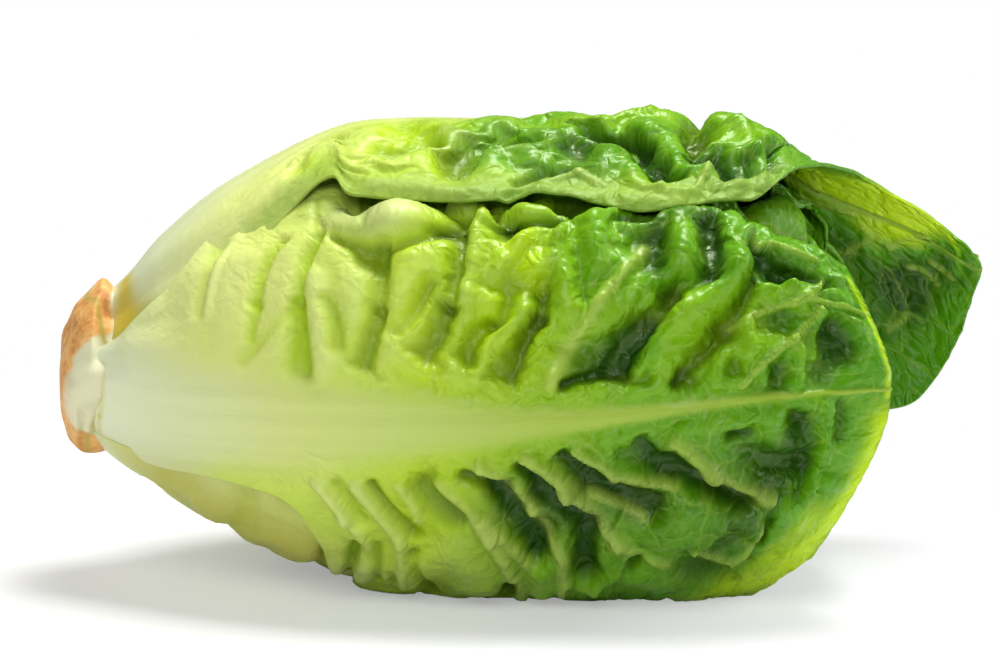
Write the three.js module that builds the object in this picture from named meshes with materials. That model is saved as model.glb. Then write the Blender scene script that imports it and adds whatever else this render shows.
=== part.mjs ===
// A little gem lettuce lying on its side, in millimetres. X runs along the head from the cut stem to the leaf tips,
// Z is up, and the head rests on Z = 0. Twenty leaves grow from the stem in a spiral. Each leaf is a patch of its own
// shell round the head's axis, and the shells lie one inside the next, so the leaves clear each other.
import * as THREE from "three";

// The head.
const LEAF_COUNT = 20;
const FIRST_LEAF_TURN = 145; // degrees round the axis: 0 faces -Y and 90 faces up
const TURN_BETWEEN_LEAVES = 137.5; // the spiral's turn from each leaf to the next one in
const WRAPPER_TURNS = [100, -3, -115, 116]; // the outer leaves, which have shifted round the head as it was packed
const AXIS_HEIGHT = 37; // less than the head's radius, because its own weight flattens it where it rests
const SHELL_STEP = 1.5; // rise of the flattened patch from one leaf to the leaf inside it

// Leaf sections.
const BLADE_THICKNESS = 0.8;
const OUTER_SHARE = 0.7; // share of the midrib's extra thickness that stands out of the leaf's outer face
const RIB_THICKNESS = { outermost: 4.0, innermost: 1.4 }; // extra thickness of the midrib at its base
const RIB_HALF_WIDTH = { base: 8, tip: 2.5 };

// Midrib lines as [distance along the axis, distance from the axis], from the leaf's base to its tip.
const TOP_LEAF_LINE = [
  [10.5, 13.5], [19, 20.5], [31, 29.4], [48, 38.6], [68, 43.1], [90, 44.6], [112, 44.7], [131, 43], [148, 38.5], [162, 31],
];
const FRONT_LEAF_LINE = [
  [11, 13.5], [19, 20], [31, 28.2], [47, 36.4], [66, 40.7], [86, 42], [105, 42], [119, 40.8], [131.5, 38], [143, 33],
];
const OUTER_LINE = [
  [10.5, 13.5], [19, 19.6], [31, 27.5], [47, 35.5], [66, 40], [86, 41.3], [106, 41], [123, 37.5], [136, 29], [144, 18],
];
const INNER_LINE = [
  [46, 3.5], [51.5, 5.5], [58, 7], [66, 8], [75, 8.8], [85, 9], [96, 8.5], [107, 7], [117, 4.8], [125, 2.4],
];

// A leaf's spread to each side of its midrib, in degrees round the axis, at even steps from its base to its tip.
const HALF_SPREAD = [48, 55, 70, 84, 88, 82, 60];
const FRONT_SPREAD = { low: [48, 52, 66, 80, 83, 78, 58], high: HALF_SPREAD };
const TOP_SPREAD = { low: [48, 46, 46, 50, 56, 64, 62], high: [60, 70, 88, 102, 104, 96, 72] };

// Mesh steps along and across a leaf: the outer leaves are larger and take more.
const OUTER_LEAVES = 6;
const STEPS_OUTER = { along: 14, across: 12 };
const STEPS_INNER = { along: 12, across: 10 };

// Colours, from the pale stem and heart to the green outer leaves.
const OUTER_GREEN = new THREE.Color(0x5f9a1f);
const HEART_GREEN = new THREE.Color(0xd9e27c);
const STEM_COLOR = 0xe3dcb0;

const LEAF_NAMES = ["top_wrapper_leaf", "front_wrapper_leaf", "under_wrapper_leaf", "back_wrapper_leaf"];
const HEART_LEAVES = 6;

const mix = (a, b, share) => a + (b - a) * share;
const smooth = (low, high, value) => THREE.MathUtils.smoothstep(value, low, high);

// A smooth curve through the values at even steps of share, from 0 to 1.
function spreadAt(values, share) {
  const line = new THREE.SplineCurve(values.map((value, i) => new THREE.Vector2(i, value)));
  return line.getPoint(share).y;
}

function lineOf(points) {
  return new THREE.SplineCurve(points.map(([x, r]) => new THREE.Vector2(x, r)));
}

// The midrib line of a leaf that lies at a share of the way in from the outer line to the inner one.
function nestedLine(share) {
  return lineOf(
    OUTER_LINE.map(([x, r], i) => [mix(x, INNER_LINE[i][0], share), mix(r, INNER_LINE[i][1], share)]),
  );
}

// What sets one leaf apart: its line, its place round the axis, its outline and its mesh steps.
function leafAt(index) {
  const share = index / (LEAF_COUNT - 1);
  const leaf = {
    name: nameOf(index),
    share,
    line: nestedLine(share),
    turn: WRAPPER_TURNS[index] ?? FIRST_LEAF_TURN - TURN_BETWEEN_LEAVES * index,
    sway: 0, // degrees that the tip leans round the axis
    spread: { low: HALF_SPREAD, high: HALF_SPREAD },
    tipRound: 0.22,
    tipPower: 2,
    level: SHELL_STEP * Math.max(0, index - 1),
    levelFrom: -360, // degrees round the axis at which the flattened patch steps up to its level
    steps: index < OUTER_LEAVES ? STEPS_OUTER : STEPS_INNER,
  };
  if (index === 0) {
    Object.assign(leaf, { line: lineOf(TOP_LEAF_LINE), spread: TOP_SPREAD });
    Object.assign(leaf, { sway: 50, tipRound: 0.3, tipPower: 1.3 });
  }
  if (index === 1) Object.assign(leaf, { line: lineOf(FRONT_LEAF_LINE), spread: FRONT_SPREAD });
  if (index === 2) leaf.levelFrom = -101;
  return leaf;
}

function nameOf(index) {
  if (index < LEAF_NAMES.length) return LEAF_NAMES[index];
  const number = (value) => String(value).padStart(2, "0");
  const firstHeart = LEAF_COUNT - HEART_LEAVES;
  if (index < firstHeart) return "middle_leaf_" + number(index - LEAF_NAMES.length + 1);
  return "heart_leaf_" + number(index - firstHeart + 1);
}

// Degrees from the midrib, at a place across the leaf from -1 to 1.
function spreadTo(leaf, along, across) {
  return across * spreadAt(across < 0 ? leaf.spread.low : leaf.spread.high, along);
}

// Degrees round the axis.
function turnAt(leaf, along, across) {
  return leaf.turn + leaf.sway * smooth(0.5, 1, along) + spreadTo(leaf, along, across);
}

// A point on the middle surface of a leaf: along runs from 0 at its base to 1 at its tip, across from -1 to 1.
function middlePoint(leaf, along, across) {
  const shorter = leaf.tipRound * Math.abs(across) ** leaf.tipPower * along * along;
  const { x, y: radius } = leaf.line.getPoint(along * (1 - shorter));
  const turn = THREE.MathUtils.degToRad(turnAt(leaf, along, across));
  return new THREE.Vector3(x, -radius * Math.cos(turn), AXIS_HEIGHT + radius * Math.sin(turn));
}

// The outward direction of the middle surface, from two short steps on it.
function outward(leaf, along, across) {
  const step = 0.01;
  const a0 = Math.max(0, along - step);
  const a1 = Math.min(1, along + step);
  const b0 = Math.max(-1, across - step);
  const b1 = Math.min(1, across + step);
  const lengthways = middlePoint(leaf, a1, across).sub(middlePoint(leaf, a0, across));
  const sideways = middlePoint(leaf, along, b1).sub(middlePoint(leaf, along, b0));
  return lengthways.cross(sideways).normalize();
}

// The midrib's extra thickness, which fades towards the tip and to each side.
function ribAt(leaf, along, across) {
  const base = mix(RIB_THICKNESS.outermost, RIB_THICKNESS.innermost, leaf.share);
  const halfWidth = mix(RIB_HALF_WIDTH.base, RIB_HALF_WIDTH.tip, along) * mix(1, 0.5, leaf.share);
  const { y: radius } = leaf.line.getPoint(along);
  const arc = radius * THREE.MathUtils.degToRad(spreadTo(leaf, along, across));
  return base * (1 - along) * Math.exp(-((arc / halfWidth) ** 2));
}

// The leaf's outer and inner points at one place. Where the leaf meets the rest plane both are kept above it.
function facePoints(leaf, along, across) {
  const middle = middlePoint(leaf, along, across);
  const normal = outward(leaf, along, across);
  const rib = ribAt(leaf, along, across);
  const outer = middle.clone().addScaledVector(normal, BLADE_THICKNESS / 2 + rib * OUTER_SHARE);
  const inner = middle.clone().addScaledVector(normal, -BLADE_THICKNESS / 2 - rib * (1 - OUTER_SHARE));
  const level = leaf.level * smooth(leaf.levelFrom, leaf.levelFrom + 7, turnAt(leaf, along, across));
  outer.z = Math.max(outer.z, level);
  inner.z = Math.max(inner.z, level + BLADE_THICKNESS);
  return [outer, inner];
}

// A closed shell: a grid of outer points, a grid of inner points, and a rim that joins their four edges.
function leafGeometry(leaf) {
  const { along: rows, across: columns } = leaf.steps;
  const positions = [];
  for (let i = 0; i <= rows; i++)
    for (let j = 0; j <= columns; j++)
      for (const point of facePoints(leaf, i / rows, (2 * j) / columns - 1)) positions.push(...point.toArray());
  const outer = (i, j) => 2 * (i * (columns + 1) + j);
  const inner = (i, j) => outer(i, j) + 1;
  const faces = [];
  const quad = (a, b, c, d) => faces.push(a, b, c, a, c, d);
  for (let i = 0; i < rows; i++)
    for (let j = 0; j < columns; j++) {
      quad(outer(i, j), outer(i + 1, j), outer(i + 1, j + 1), outer(i, j + 1));
      quad(inner(i, j), inner(i, j + 1), inner(i + 1, j + 1), inner(i + 1, j));
    }
  for (let i = 0; i < rows; i++) {
    quad(outer(i, 0), inner(i, 0), inner(i + 1, 0), outer(i + 1, 0));
    quad(outer(i, columns), outer(i + 1, columns), inner(i + 1, columns), inner(i, columns));
  }
  for (let j = 0; j < columns; j++) {
    quad(outer(0, j), outer(0, j + 1), inner(0, j + 1), inner(0, j));
    quad(outer(rows, j), inner(rows, j), inner(rows, j + 1), outer(rows, j + 1));
  }
  const geometry = new THREE.BufferGeometry();
  geometry.setAttribute("position", new THREE.Float32BufferAttribute(positions, 3));
  geometry.setIndex(faces);
  geometry.computeVertexNormals();
  return geometry;
}

function leafMesh(leaf) {
  const color = OUTER_GREEN.clone().lerp(HEART_GREEN, leaf.share);
  const material = new THREE.MeshStandardMaterial({ color, roughness: 0.45, metalness: 0 });
  const mesh = new THREE.Mesh(leafGeometry(leaf), material);
  mesh.name = leaf.name;
  return mesh;
}

// The stem: a domed cut end, then a cone inside the leaves that thins towards the heart.
function stemMesh() {
  const butt = [[0, 0], [6, 0.3], [10.5, 1.4], [13.4, 3.3], [15, 5.8], [15.3, 7.6]];
  const cone = [[11.7, 8.5], [11.3, 12], [10.3, 15.5], [8.8, 20.8], [6.2, 30], [1.9, 45.5], [0, 46]];
  const profile = [...butt, ...cone].map(([radius, x]) => new THREE.Vector2(radius, x));
  const geometry = new THREE.LatheGeometry(profile, 24);
  geometry.rotateZ(-Math.PI / 2); // the lathe's axis to the head's axis
  const material = new THREE.MeshStandardMaterial({ color: STEM_COLOR, roughness: 0.6, metalness: 0 });
  const mesh = new THREE.Mesh(geometry, material);
  mesh.name = "stem";
  mesh.position.z = AXIS_HEIGHT;
  return mesh;
}

const head = new THREE.Group();
head.name = "little_gem_lettuce";
head.add(stemMesh());
for (let index = 0; index < LEAF_COUNT; index++) head.add(leafMesh(leafAt(index)));

// The origin is under the middle of the head.
const box = new THREE.Box3().setFromObject(head);
const centre = box.getCenter(new THREE.Vector3());
head.position.set(-centre.x, -centre.y, -box.min.z);
head.updateMatrixWorld(true);

export default head;
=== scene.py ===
"""A little gem lettuce lying on its side: a cut stem and twenty crinkled leaves, built on the CAD frame."""

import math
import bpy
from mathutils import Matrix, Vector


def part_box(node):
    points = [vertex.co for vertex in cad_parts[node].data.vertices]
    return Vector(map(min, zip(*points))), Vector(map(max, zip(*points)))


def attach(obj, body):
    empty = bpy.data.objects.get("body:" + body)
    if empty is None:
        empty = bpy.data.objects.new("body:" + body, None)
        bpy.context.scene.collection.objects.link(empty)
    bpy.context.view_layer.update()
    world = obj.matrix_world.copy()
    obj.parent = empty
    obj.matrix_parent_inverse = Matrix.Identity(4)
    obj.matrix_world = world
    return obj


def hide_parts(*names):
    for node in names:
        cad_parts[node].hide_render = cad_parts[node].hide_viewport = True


bl_info = {
    "name": "Little gem lettuce",
    "version": (1, 0, 0),
    "blender": (4, 5, 0),
    "location": "View3D > Sidebar > Lettuce",
    "description": "Builds a small lettuce head with crinkled leaves and a cut stem",
    "category": "Add Mesh",
}

import bpy
import numpy as np
from mathutils import Vector
from bpy.props import FloatProperty, FloatVectorProperty, IntProperty, PointerProperty

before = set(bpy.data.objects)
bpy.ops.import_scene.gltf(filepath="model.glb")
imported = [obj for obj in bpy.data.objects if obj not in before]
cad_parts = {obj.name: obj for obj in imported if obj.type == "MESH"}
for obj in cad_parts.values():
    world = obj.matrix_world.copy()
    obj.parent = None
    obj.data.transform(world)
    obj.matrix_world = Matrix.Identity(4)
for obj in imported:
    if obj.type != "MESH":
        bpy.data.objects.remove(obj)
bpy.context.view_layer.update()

MM = 0.001
UV_WIDTH = 200.0  # millimetres of leaf across the whole UV square
FLOOR_GAP = 0.3  # millimetres that the leaves stay above the floor

# The head's axis runs along X through the middle of the stem. Head millimetres count from the cut end.
stem_low, stem_high = (np.array(corner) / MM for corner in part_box("stem"))
AXIS_START = np.array([stem_low[0], (stem_low[1] + stem_high[1]) / 2, (stem_low[2] + stem_high[2]) / 2])
AXIS_HEIGHT = AXIS_START[2]

# The leaves grow in one spiral: each is this many degrees round the axis from the one outside it.
LEAF_COUNT = 20
FIRST_LEAF_TURN = 145.0
TURN_BETWEEN_LEAVES = 137.5
FIRST_MIDDLE_LEAF = 4
FIRST_HEART_LEAF = 14

# Midrib lines of the outermost and the innermost leaf, as [distance along the axis, distance from the axis].
OUTER_LINE = [
    [10, 16.5], [19, 21.2], [31, 28.6], [47, 36], [66, 40], [86, 41.3], [106, 41], [123, 37.5], [136, 29],
    [144, 18],
]
INNER_LINE = [
    [46, 4.5], [51.5, 6], [58, 7.5], [66, 8.5], [75, 9.3], [85, 9.4], [96, 9], [107, 7.6], [117, 5.2],
    [125, 2.8],
]

# The stem's profile as (distance from the cut end, radius), from the middle of the cut to the core's point.
STEM_PROFILE = np.array([
    (0.0, 0.0), (0.2, 3.5), (0.5, 6.6), (1.3, 9.4), (2.6, 11.9), (4.4, 13.9), (6.4, 14.9), (8.6, 15.0),
    (11, 14.3), (14, 12.4), (21, 9.4), (30, 6.4), (40, 3.2), (46, 0.0),
])
STEM_WIDEST = 15.0  # the profile's largest radius

# The camera, in metres and millimetres of sensor.
CAMERA_DISTANCE = 1.8
CAMERA_AIM = Vector((-0.0045, 0.0, 0.0415))
VIEW_WIDTH = 0.1723  # across the picture, at the aim
SENSOR_WIDTH = 36.0

# The lamps, as (place, width, the property that holds the power), all aimed at the head's middle.
LAMP_AIM = Vector((0, 0, 0.04))
LAMPS = {
    "top lamp": ((0.15, 0.20, 0.86), 0.42, "top_power"),
    "front lamp": ((-0.12, -0.85, 0.72), 0.7, "front_power"),
    "right lamp": ((0.85, 0.10, 0.35), 0.4, "side_power"),
}

# Round the head the floor shows its own colour and shadow, and further out it turns to plain white.
FLOOR_WIDTH = 6.0
FADE_CENTRE = (-0.08, -0.02, 0.0)
FADE_START = 0.09
FADE_END = 0.18
WHITE = (1.0, 1.0, 1.0, 1.0)


# ---------------------------------------------------------------- curves and noise


def smooth_curve(points, share):
    """Points of a smooth curve through given points, at shares from 0 to 1."""
    points = np.asarray(points, float)
    last = len(points) - 1
    place = np.clip(share, 0, 1) * last
    i = np.minimum(place.astype(int), last - 1)
    f = (place - i)[..., None]
    before, here = points[np.maximum(i - 1, 0)], points[i]
    there, after = points[i + 1], points[np.minimum(i + 2, last)]
    out, into = (there - before) / 2, (after - here) / 2
    cubed = 2 * here - 2 * there + out + into
    squared = 3 * there - 3 * here - 2 * out - into
    return cubed * f**3 + squared * f**2 + out * f + here


def ramp(low, high, value):
    """0 below low, 1 above high, and smooth between."""
    t = np.clip((value - low) / (high - low), 0, 1)
    return t * t * (3 - 2 * t)


def lattice(i, j, seed):
    """A repeatable random number from 0 to 1 for each pair of whole numbers, mixed by large odd numbers."""
    h = (i.astype(np.int64) * 374761393 + j.astype(np.int64) * 668265263 + seed * 1442695041) & 0xFFFFFFFF
    h = ((h ^ (h >> 13)) * 1274126177) & 0xFFFFFFFF
    return ((h ^ (h >> 16)) & 0xFFFFFF) / float(0x1000000)


def soft_noise(x, y, size, seed):
    """Smooth noise from -1 to 1, with bumps about as wide as size."""
    x, y = x / size, y / size
    i, j = np.floor(x), np.floor(y)
    fx, fy = ramp(0, 1, x - i), ramp(0, 1, y - j)
    corner = [[lattice(i + a, j + b, seed) for b in (0, 1)] for a in (0, 1)]
    low = corner[0][0] * (1 - fy) + corner[0][1] * fy
    high = corner[1][0] * (1 - fy) + corner[1][1] * fy
    return (low * (1 - fx) + high * fx) * 2 - 1


def cells(x, y, size, seed):
    """Distances to the nearest two of scattered points, and a random number for the nearest."""
    x, y = x / size, y / size
    near = np.full(x.shape, np.inf)
    second = near.copy()
    owner = np.zeros(x.shape)
    for a in (-1, 0, 1):
        for b in (-1, 0, 1):
            i, j = np.floor(x) + a, np.floor(y) + b
            px = i + 0.15 + 0.7 * lattice(i, j, seed)
            py = j + 0.15 + 0.7 * lattice(i, j, seed + 77)
            d = np.hypot(px - x, py - y)
            closer = d < near
            second = np.where(closer, near, np.minimum(second, d))
            owner = np.where(closer, lattice(i, j, seed + 154), owner)
            near = np.where(closer, d, near)
    return near * size, second * size, owner


# ---------------------------------------------------------------- folds and veins given one by one

# Each fold is (height, (half width at its start, half width at its end), start, end, bow) in millimetres on
# its flat leaf, where a place is (distance from the leaf's base, distance from its midrib). A height below 0
# is a crease or a pocket, and the bow is how far the fold's middle swings to its left.
FRONT_CREASES = [
    # Shallow creases between the soft panels beside the midrib.
    (-0.5, (1.0, 0.6), (31, 34), (26, 18), -1.0),
    (-0.9, (0.7, 0.8), (43, 33), (37.5, 20), -1.2),
    (-0.8, (0.8, 0.6), (37.5, 20), (36, 14), 0),
    (-1.2, (0.7, 0.8), (50, 34), (45.7, 21), -0.9),
    (-1.8, (0.8, 1.4), (45.7, 21), (46.5, 9), 0),
    (-0.6, (0.6, 0.9), (44, 19.5), (34.5, 10), 0),
    (-1.2, (0.7, 1.0), (50.5, 22), (53, 14), 0.8),
    (-1.3, (0.7, 0.8), (60.5, 29), (60.5, 19.5), 0.3),
    (-1.9, (0.8, 1.4), (60.5, 19.5), (57.3, 10.5), 0.3),
    (-1.2, (0.7, 1.2), (69, 24.5), (63, 16), 0.6),
    (-1.5, (0.8, 0.8), (74, 31), (72.2, 20), 0.2),
    (-2.0, (0.8, 1.4), (72.2, 20), (68.3, 12), 0.3),
    (-1.8, (2.0, 0.9), (86, 22), (79, 17), 0),
    (-2.3, (0.9, 1.5), (79, 17), (75.3, 11.5), -0.7),
    (-1.5, (0.7, 0.9), (87.7, 24), (87.2, 17), 0),
    (-2.6, (0.9, 1.6), (87.2, 17), (82, 8.7), -0.3),
    (-1.0, (0.7, 0.7), (93, 28), (94.5, 20.5), 0),
    # The shadow under the rolled flap, and the pockets along the upper edge.
    (-1.8, (0.7, 1.2), (52, 33.5), (60.5, 30.2), -0.4),
    (-1.8, (1.2, 1.0), (60.5, 30.2), (73, 36), -0.6),
    (-1.5, (1.8, 1.8), (57, 28.7), (60, 28.3), 0),
    (-2.6, (2.2, 2.0), (75.5, 41), (73.5, 34), 0),
    (-2.6, (1.2, 1.6), (80, 41), (83.5, 34.5), 0),
    (-2.2, (1.4, 1.2), (83.5, 34.5), (90, 34.5), 0.5),
    (-3.0, (2.4, 2.4), (92, 43), (95.5, 39.5), 0),
    (-1.6, (1.0, 1.0), (101, 36), (106, 35), 0),
    # The long dark fold that runs out from the midrib, and the pits round the tip.
    (-2.6, (0.9, 1.5), (91, 6.3), (100.5, 7.5), 0.2),
    (-3.4, (1.7, 1.4), (100.5, 7.5), (109.5, 18), 0),
    (-2.0, (1.3, 1.2), (109.5, 18), (115.8, 21), 0),
    (-1.2, (3.2, 3.2), (95, 10.5), (102.5, 13), 0),
    (-3.0, (1.4, 1.5), (117.3, 33), (116.6, 22), 0),
    (-2.4, (1.6, 1.6), (107, 30), (106.8, 25.5), 0),
    (-3.0, (2.2, 1.7), (125, 27), (130, 21.8), -0.3),
    (-2.3, (1.5, 0.8), (130, 21.8), (141, 19.6), -0.5),
    (-2.6, (0.9, 1.1), (124.3, 20.5), (118.5, 11.3), 0.5),
    (-2.8, (1.3, 0.7), (118.5, 11.3), (110, 4), 0),
    (-2.8, (3.0, 2.6), (138, 11), (139.8, 8), 0),
    (-1.7, (1.1, 1.1), (120.2, 6.2), (120.4, 5.2), 0),
    (-1.0, (1.6, 1.6), (128, 14), (128.5, 11.5), 0),
    (-1.6, (1.5, 1.5), (127.3, 4.5), (127.2, 2.2), 0),
    (-1.0, (1.2, 1.2), (136, 3.4), (136, 2.2), 0),
    (-1.6, (1.3, 1.0), (104.8, 8), (104.9, 5.6), 0),
    (-1.3, (1.2, 1.0), (111, 5.5), (113, 4.3), 0),
]

FRONT_POCKETS = [
    # Pockets between the veins below the midrib, deeper towards the tip.
    (-0.8, (1.2, 1.2), (52, -11.3), (56.5, -18), 0.3),
    (-1.7, (0.9, 1.3), (58.3, -11), (65.5, -21.5), -0.4),
    (-1.9, (2.4, 2.2), (67.5, -11.5), (73, -17.5), -0.3),
    (-2.4, (1.1, 1.7), (74.5, -9.3), (80.5, -12), 0.6),
    (-3.8, (1.8, 2.4), (80.5, -12), (87, -22), 0),
    (-3.4, (2.2, 1.3), (87, -22), (86.7, -28), 0),
    (-3.0, (1.2, 1.7), (84, -7.8), (88, -13.5), 0.4),
    (-4.4, (1.9, 2.0), (88, -13.5), (95.5, -20), -0.3),
    (-3.0, (1.3, 1.8), (91, -6.6), (95.5, -11.5), 0.3),
    (-4.2, (1.9, 2.2), (95.5, -11.5), (106, -18), -0.4),
    (-2.8, (1.3, 1.8), (104, -5.6), (109, -10.8), 0),
    (-3.8, (1.9, 1.5), (109, -10.8), (122, -18.3), 0.2),
    (-1.4, (1.2, 1.4), (101, -6.8), (108, -12.3), 0),
    (-3.0, (1.7, 2.0), (95.3, -23), (96, -32.5), -0.5),
    (-1.4, (0.8, 0.8), (96.5, -21.6), (102.5, -26.3), 0),
    # Creases that run in from the lower edge.
    (-1.8, (0.9, 1.1), (56, -25), (55, -40), -0.4),
    (-1.3, (0.8, 0.9), (65.7, -26), (70, -41), -0.5),
    (-1.0, (0.7, 0.7), (59.3, -25), (60.5, -36), 0),
    (-0.9, (0.7, 0.7), (62.5, -32), (64, -39), 0),
    (-2.4, (1.0, 1.3), (82.8, -34.5), (83.3, -40), 0),
    (-2.0, (1.2, 1.0), (104.8, -28), (103.3, -31), 0),
    (-2.8, (1.9, 2.3), (130.8, -4.5), (133, -13.5), 0.5),
    (-1.5, (1.2, 1.1), (138.8, -2.5), (139.2, -8), 0.3),
    (-2.0, (0.8, 1.0), (119.5, -6), (122.3, -5.8), 0),
    (-1.6, (3.6, 4.0), (124, -10.5), (128.5, -15), 0),
    (-1.2, (1.4, 1.4), (128.3, -20.5), (127, -27.5), 0),
    (-1.4, (1.5, 1.5), (125.8, -32), (125.7, -33), 0),
    (-1.1, (1.2, 1.3), (121.5, -33), (121.5, -37), 0),
    (-1.0, (0.7, 0.7), (115.5, -26.7), (121.5, -26), -0.6),
    (-1.1, (2.4, 2.4), (113, -34), (118.5, -35.5), 0),
    (-1.0, (0.6, 0.6), (133, -19.5), (133.6, -15), 0),
]

FRONT_CRESTS = [
    # Soft panels above the midrib, and then the raised strips beyond them.
    (0.5, (0.8, 0.6), (34, 35.5), (27.5, 18), -1.3),
    (0.3, (2.5, 2.2), (34, 30), (31, 14), 0),
    (0.4, (2.5, 2.2), (43, 29), (41, 12), 0),
    (1.2, (2.0, 1.8), (48.3, 25), (50, 10), 0.3),
    (0.7, (2.4, 2.2), (56, 25), (54.5, 11), 0),
    (0.7, (2.8, 2.4), (66, 28), (61.5, 12), 0),
    (0.9, (1.3, 1.3), (77, 34), (75, 22.5), 0.6),
    (0.9, (1.3, 1.3), (75, 22.5), (72.5, 9), 0),
    (0.9, (1.3, 1.4), (84.5, 32), (80, 25.5), 0),
    (0.8, (1.3, 1.3), (79.3, 20.8), (79.3, 18.8), 0),
    (1.1, (1.2, 1.9), (90.5, 31.5), (84, 19.5), 0.3),
    (1.0, (1.9, 1.5), (84, 19.5), (76.5, 9), -0.3),
    (1.3, (1.8, 1.8), (91.2, 27), (91.8, 19), 0),
    (1.2, (2.0, 1.7), (96, 34), (97.3, 26), 0),
    (0.7, (0.8, 0.8), (91, 36.5), (90.3, 31), 0),
    # The rolled flap at the upper edge, and the crest beyond it.
    (2.2, (3.6, 4.2), (54, 38), (62, 37), -0.6),
    (2.0, (4.2, 2.2), (62, 37), (74, 43), -0.8),
    (1.8, (1.2, 1.5), (73, 44), (78, 37), 2.0),
    (0.8, (2.5, 2.0), (82, 40), (88, 38.5), 0),
    # The long rolled strip and the round puff beside it.
    (2.0, (1.4, 3.2), (103.5, 8), (111, 15), 0),
    (2.5, (3.2, 2.6), (111, 15), (121, 22.5), 0),
    (2.0, (2.4, 1.6), (121, 22.5), (123.7, 29.5), -0.3),
    (2.2, (3.2, 3.2), (111.5, 27.2), (112.3, 24.6), 0),
    (1.0, (1.6, 1.6), (121, 35), (122, 33.5), 0),
    (1.2, (2.0, 1.6), (126, 37), (128.5, 34.5), 0),
    (0.9, (1.1, 1.1), (105.3, 18.6), (106.5, 16.8), 0),
    (0.8, (1.2, 1.2), (89.3, 7.4), (89.3, 6.0), 0),
    (0.7, (0.9, 0.9), (94, 6), (94.2, 5.4), 0),
    (0.7, (1.0, 1.0), (96.6, 6.6), (96.7, 5.6), 0),
    # Rims and small puffs round the pits near the tip.
    (1.1, (0.9, 0.9), (125.3, 18), (131, 19.2), 0.5),
    (1.1, (0.9, 0.8), (131, 19.2), (144, 20), 0),
    (0.8, (1.3, 1.3), (130.5, 17.8), (136, 17.8), 0),
    (1.2, (0.9, 0.9), (133.7, 6.5), (136, 13.5), 0.5),
    (1.2, (0.9, 0.9), (136, 13.5), (143, 11.5), 1.2),
    (1.0, (0.9, 0.8), (143, 11.5), (142, 4.5), 1.0),
    (1.2, (1.1, 1.1), (118, 8), (116.7, 3.8), 0),
    (1.1, (1.1, 1.1), (122.5, 12), (123, 8), 0),
    (0.9, (0.9, 0.9), (124.8, 5), (125, 2.5), 0),
    (1.1, (1.1, 1.0), (131, 8), (130.8, 1.8), 0),
    (0.9, (1.5, 1.5), (141, 17.5), (142, 16), 0),
    (0.8, (1.6, 1.6), (145, 11), (147, 3), -0.5),
    # Lobes and rims below the midrib.
    (1.2, (2.6, 2.6), (50.5, -33), (53, -33.5), 0),
    (1.1, (2.2, 2.2), (57, -35), (57.5, -32), 0),
    (0.8, (1.6, 1.6), (61.5, -33.5), (62, -32.5), 0),
    (1.0, (2.0, 2.0), (66.5, -36), (66.5, -29), 0),
    (1.5, (4.8, 4.2), (73.5, -26), (77.5, -34), 0),
    (1.2, (2.2, 2.2), (88, -32), (88.5, -37), 0),
    (1.3, (0.8, 0.9), (93, -34), (97.5, -35.8), -0.8),
    (1.2, (0.9, 0.8), (97.5, -35.8), (102.5, -26), -1.4),
    (0.8, (0.8, 0.8), (91.3, -25.5), (96, -21.5), -1.0),
    (2.4, (4.0, 4.0), (109.5, -22.3), (113.5, -22), 0),
    (0.9, (0.8, 0.8), (106, -19), (113, -16.5), 0.8),
    (0.9, (0.8, 0.8), (113, -16.5), (118, -21.5), 1.2),
    (0.8, (0.8, 0.8), (118, -21.5), (110, -28), 1.6),
    (1.0, (3.4, 3.4), (105, -34), (109.5, -35), 0),
    (1.3, (0.7, 0.7), (136, -7), (134.5, -19.5), 0.6),
    (0.9, (1.5, 1.5), (124.5, -3), (129.5, -4.5), 0),
    (0.9, (1.2, 1.2), (132, -1.2), (137, -2.5), 0),
    (0.8, (1.6, 1.6), (137.5, -17), (142.5, -17), 0),
    (1.0, (2.4, 2.0), (112, -3.2), (117.5, -3.6), 0),
]

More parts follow.
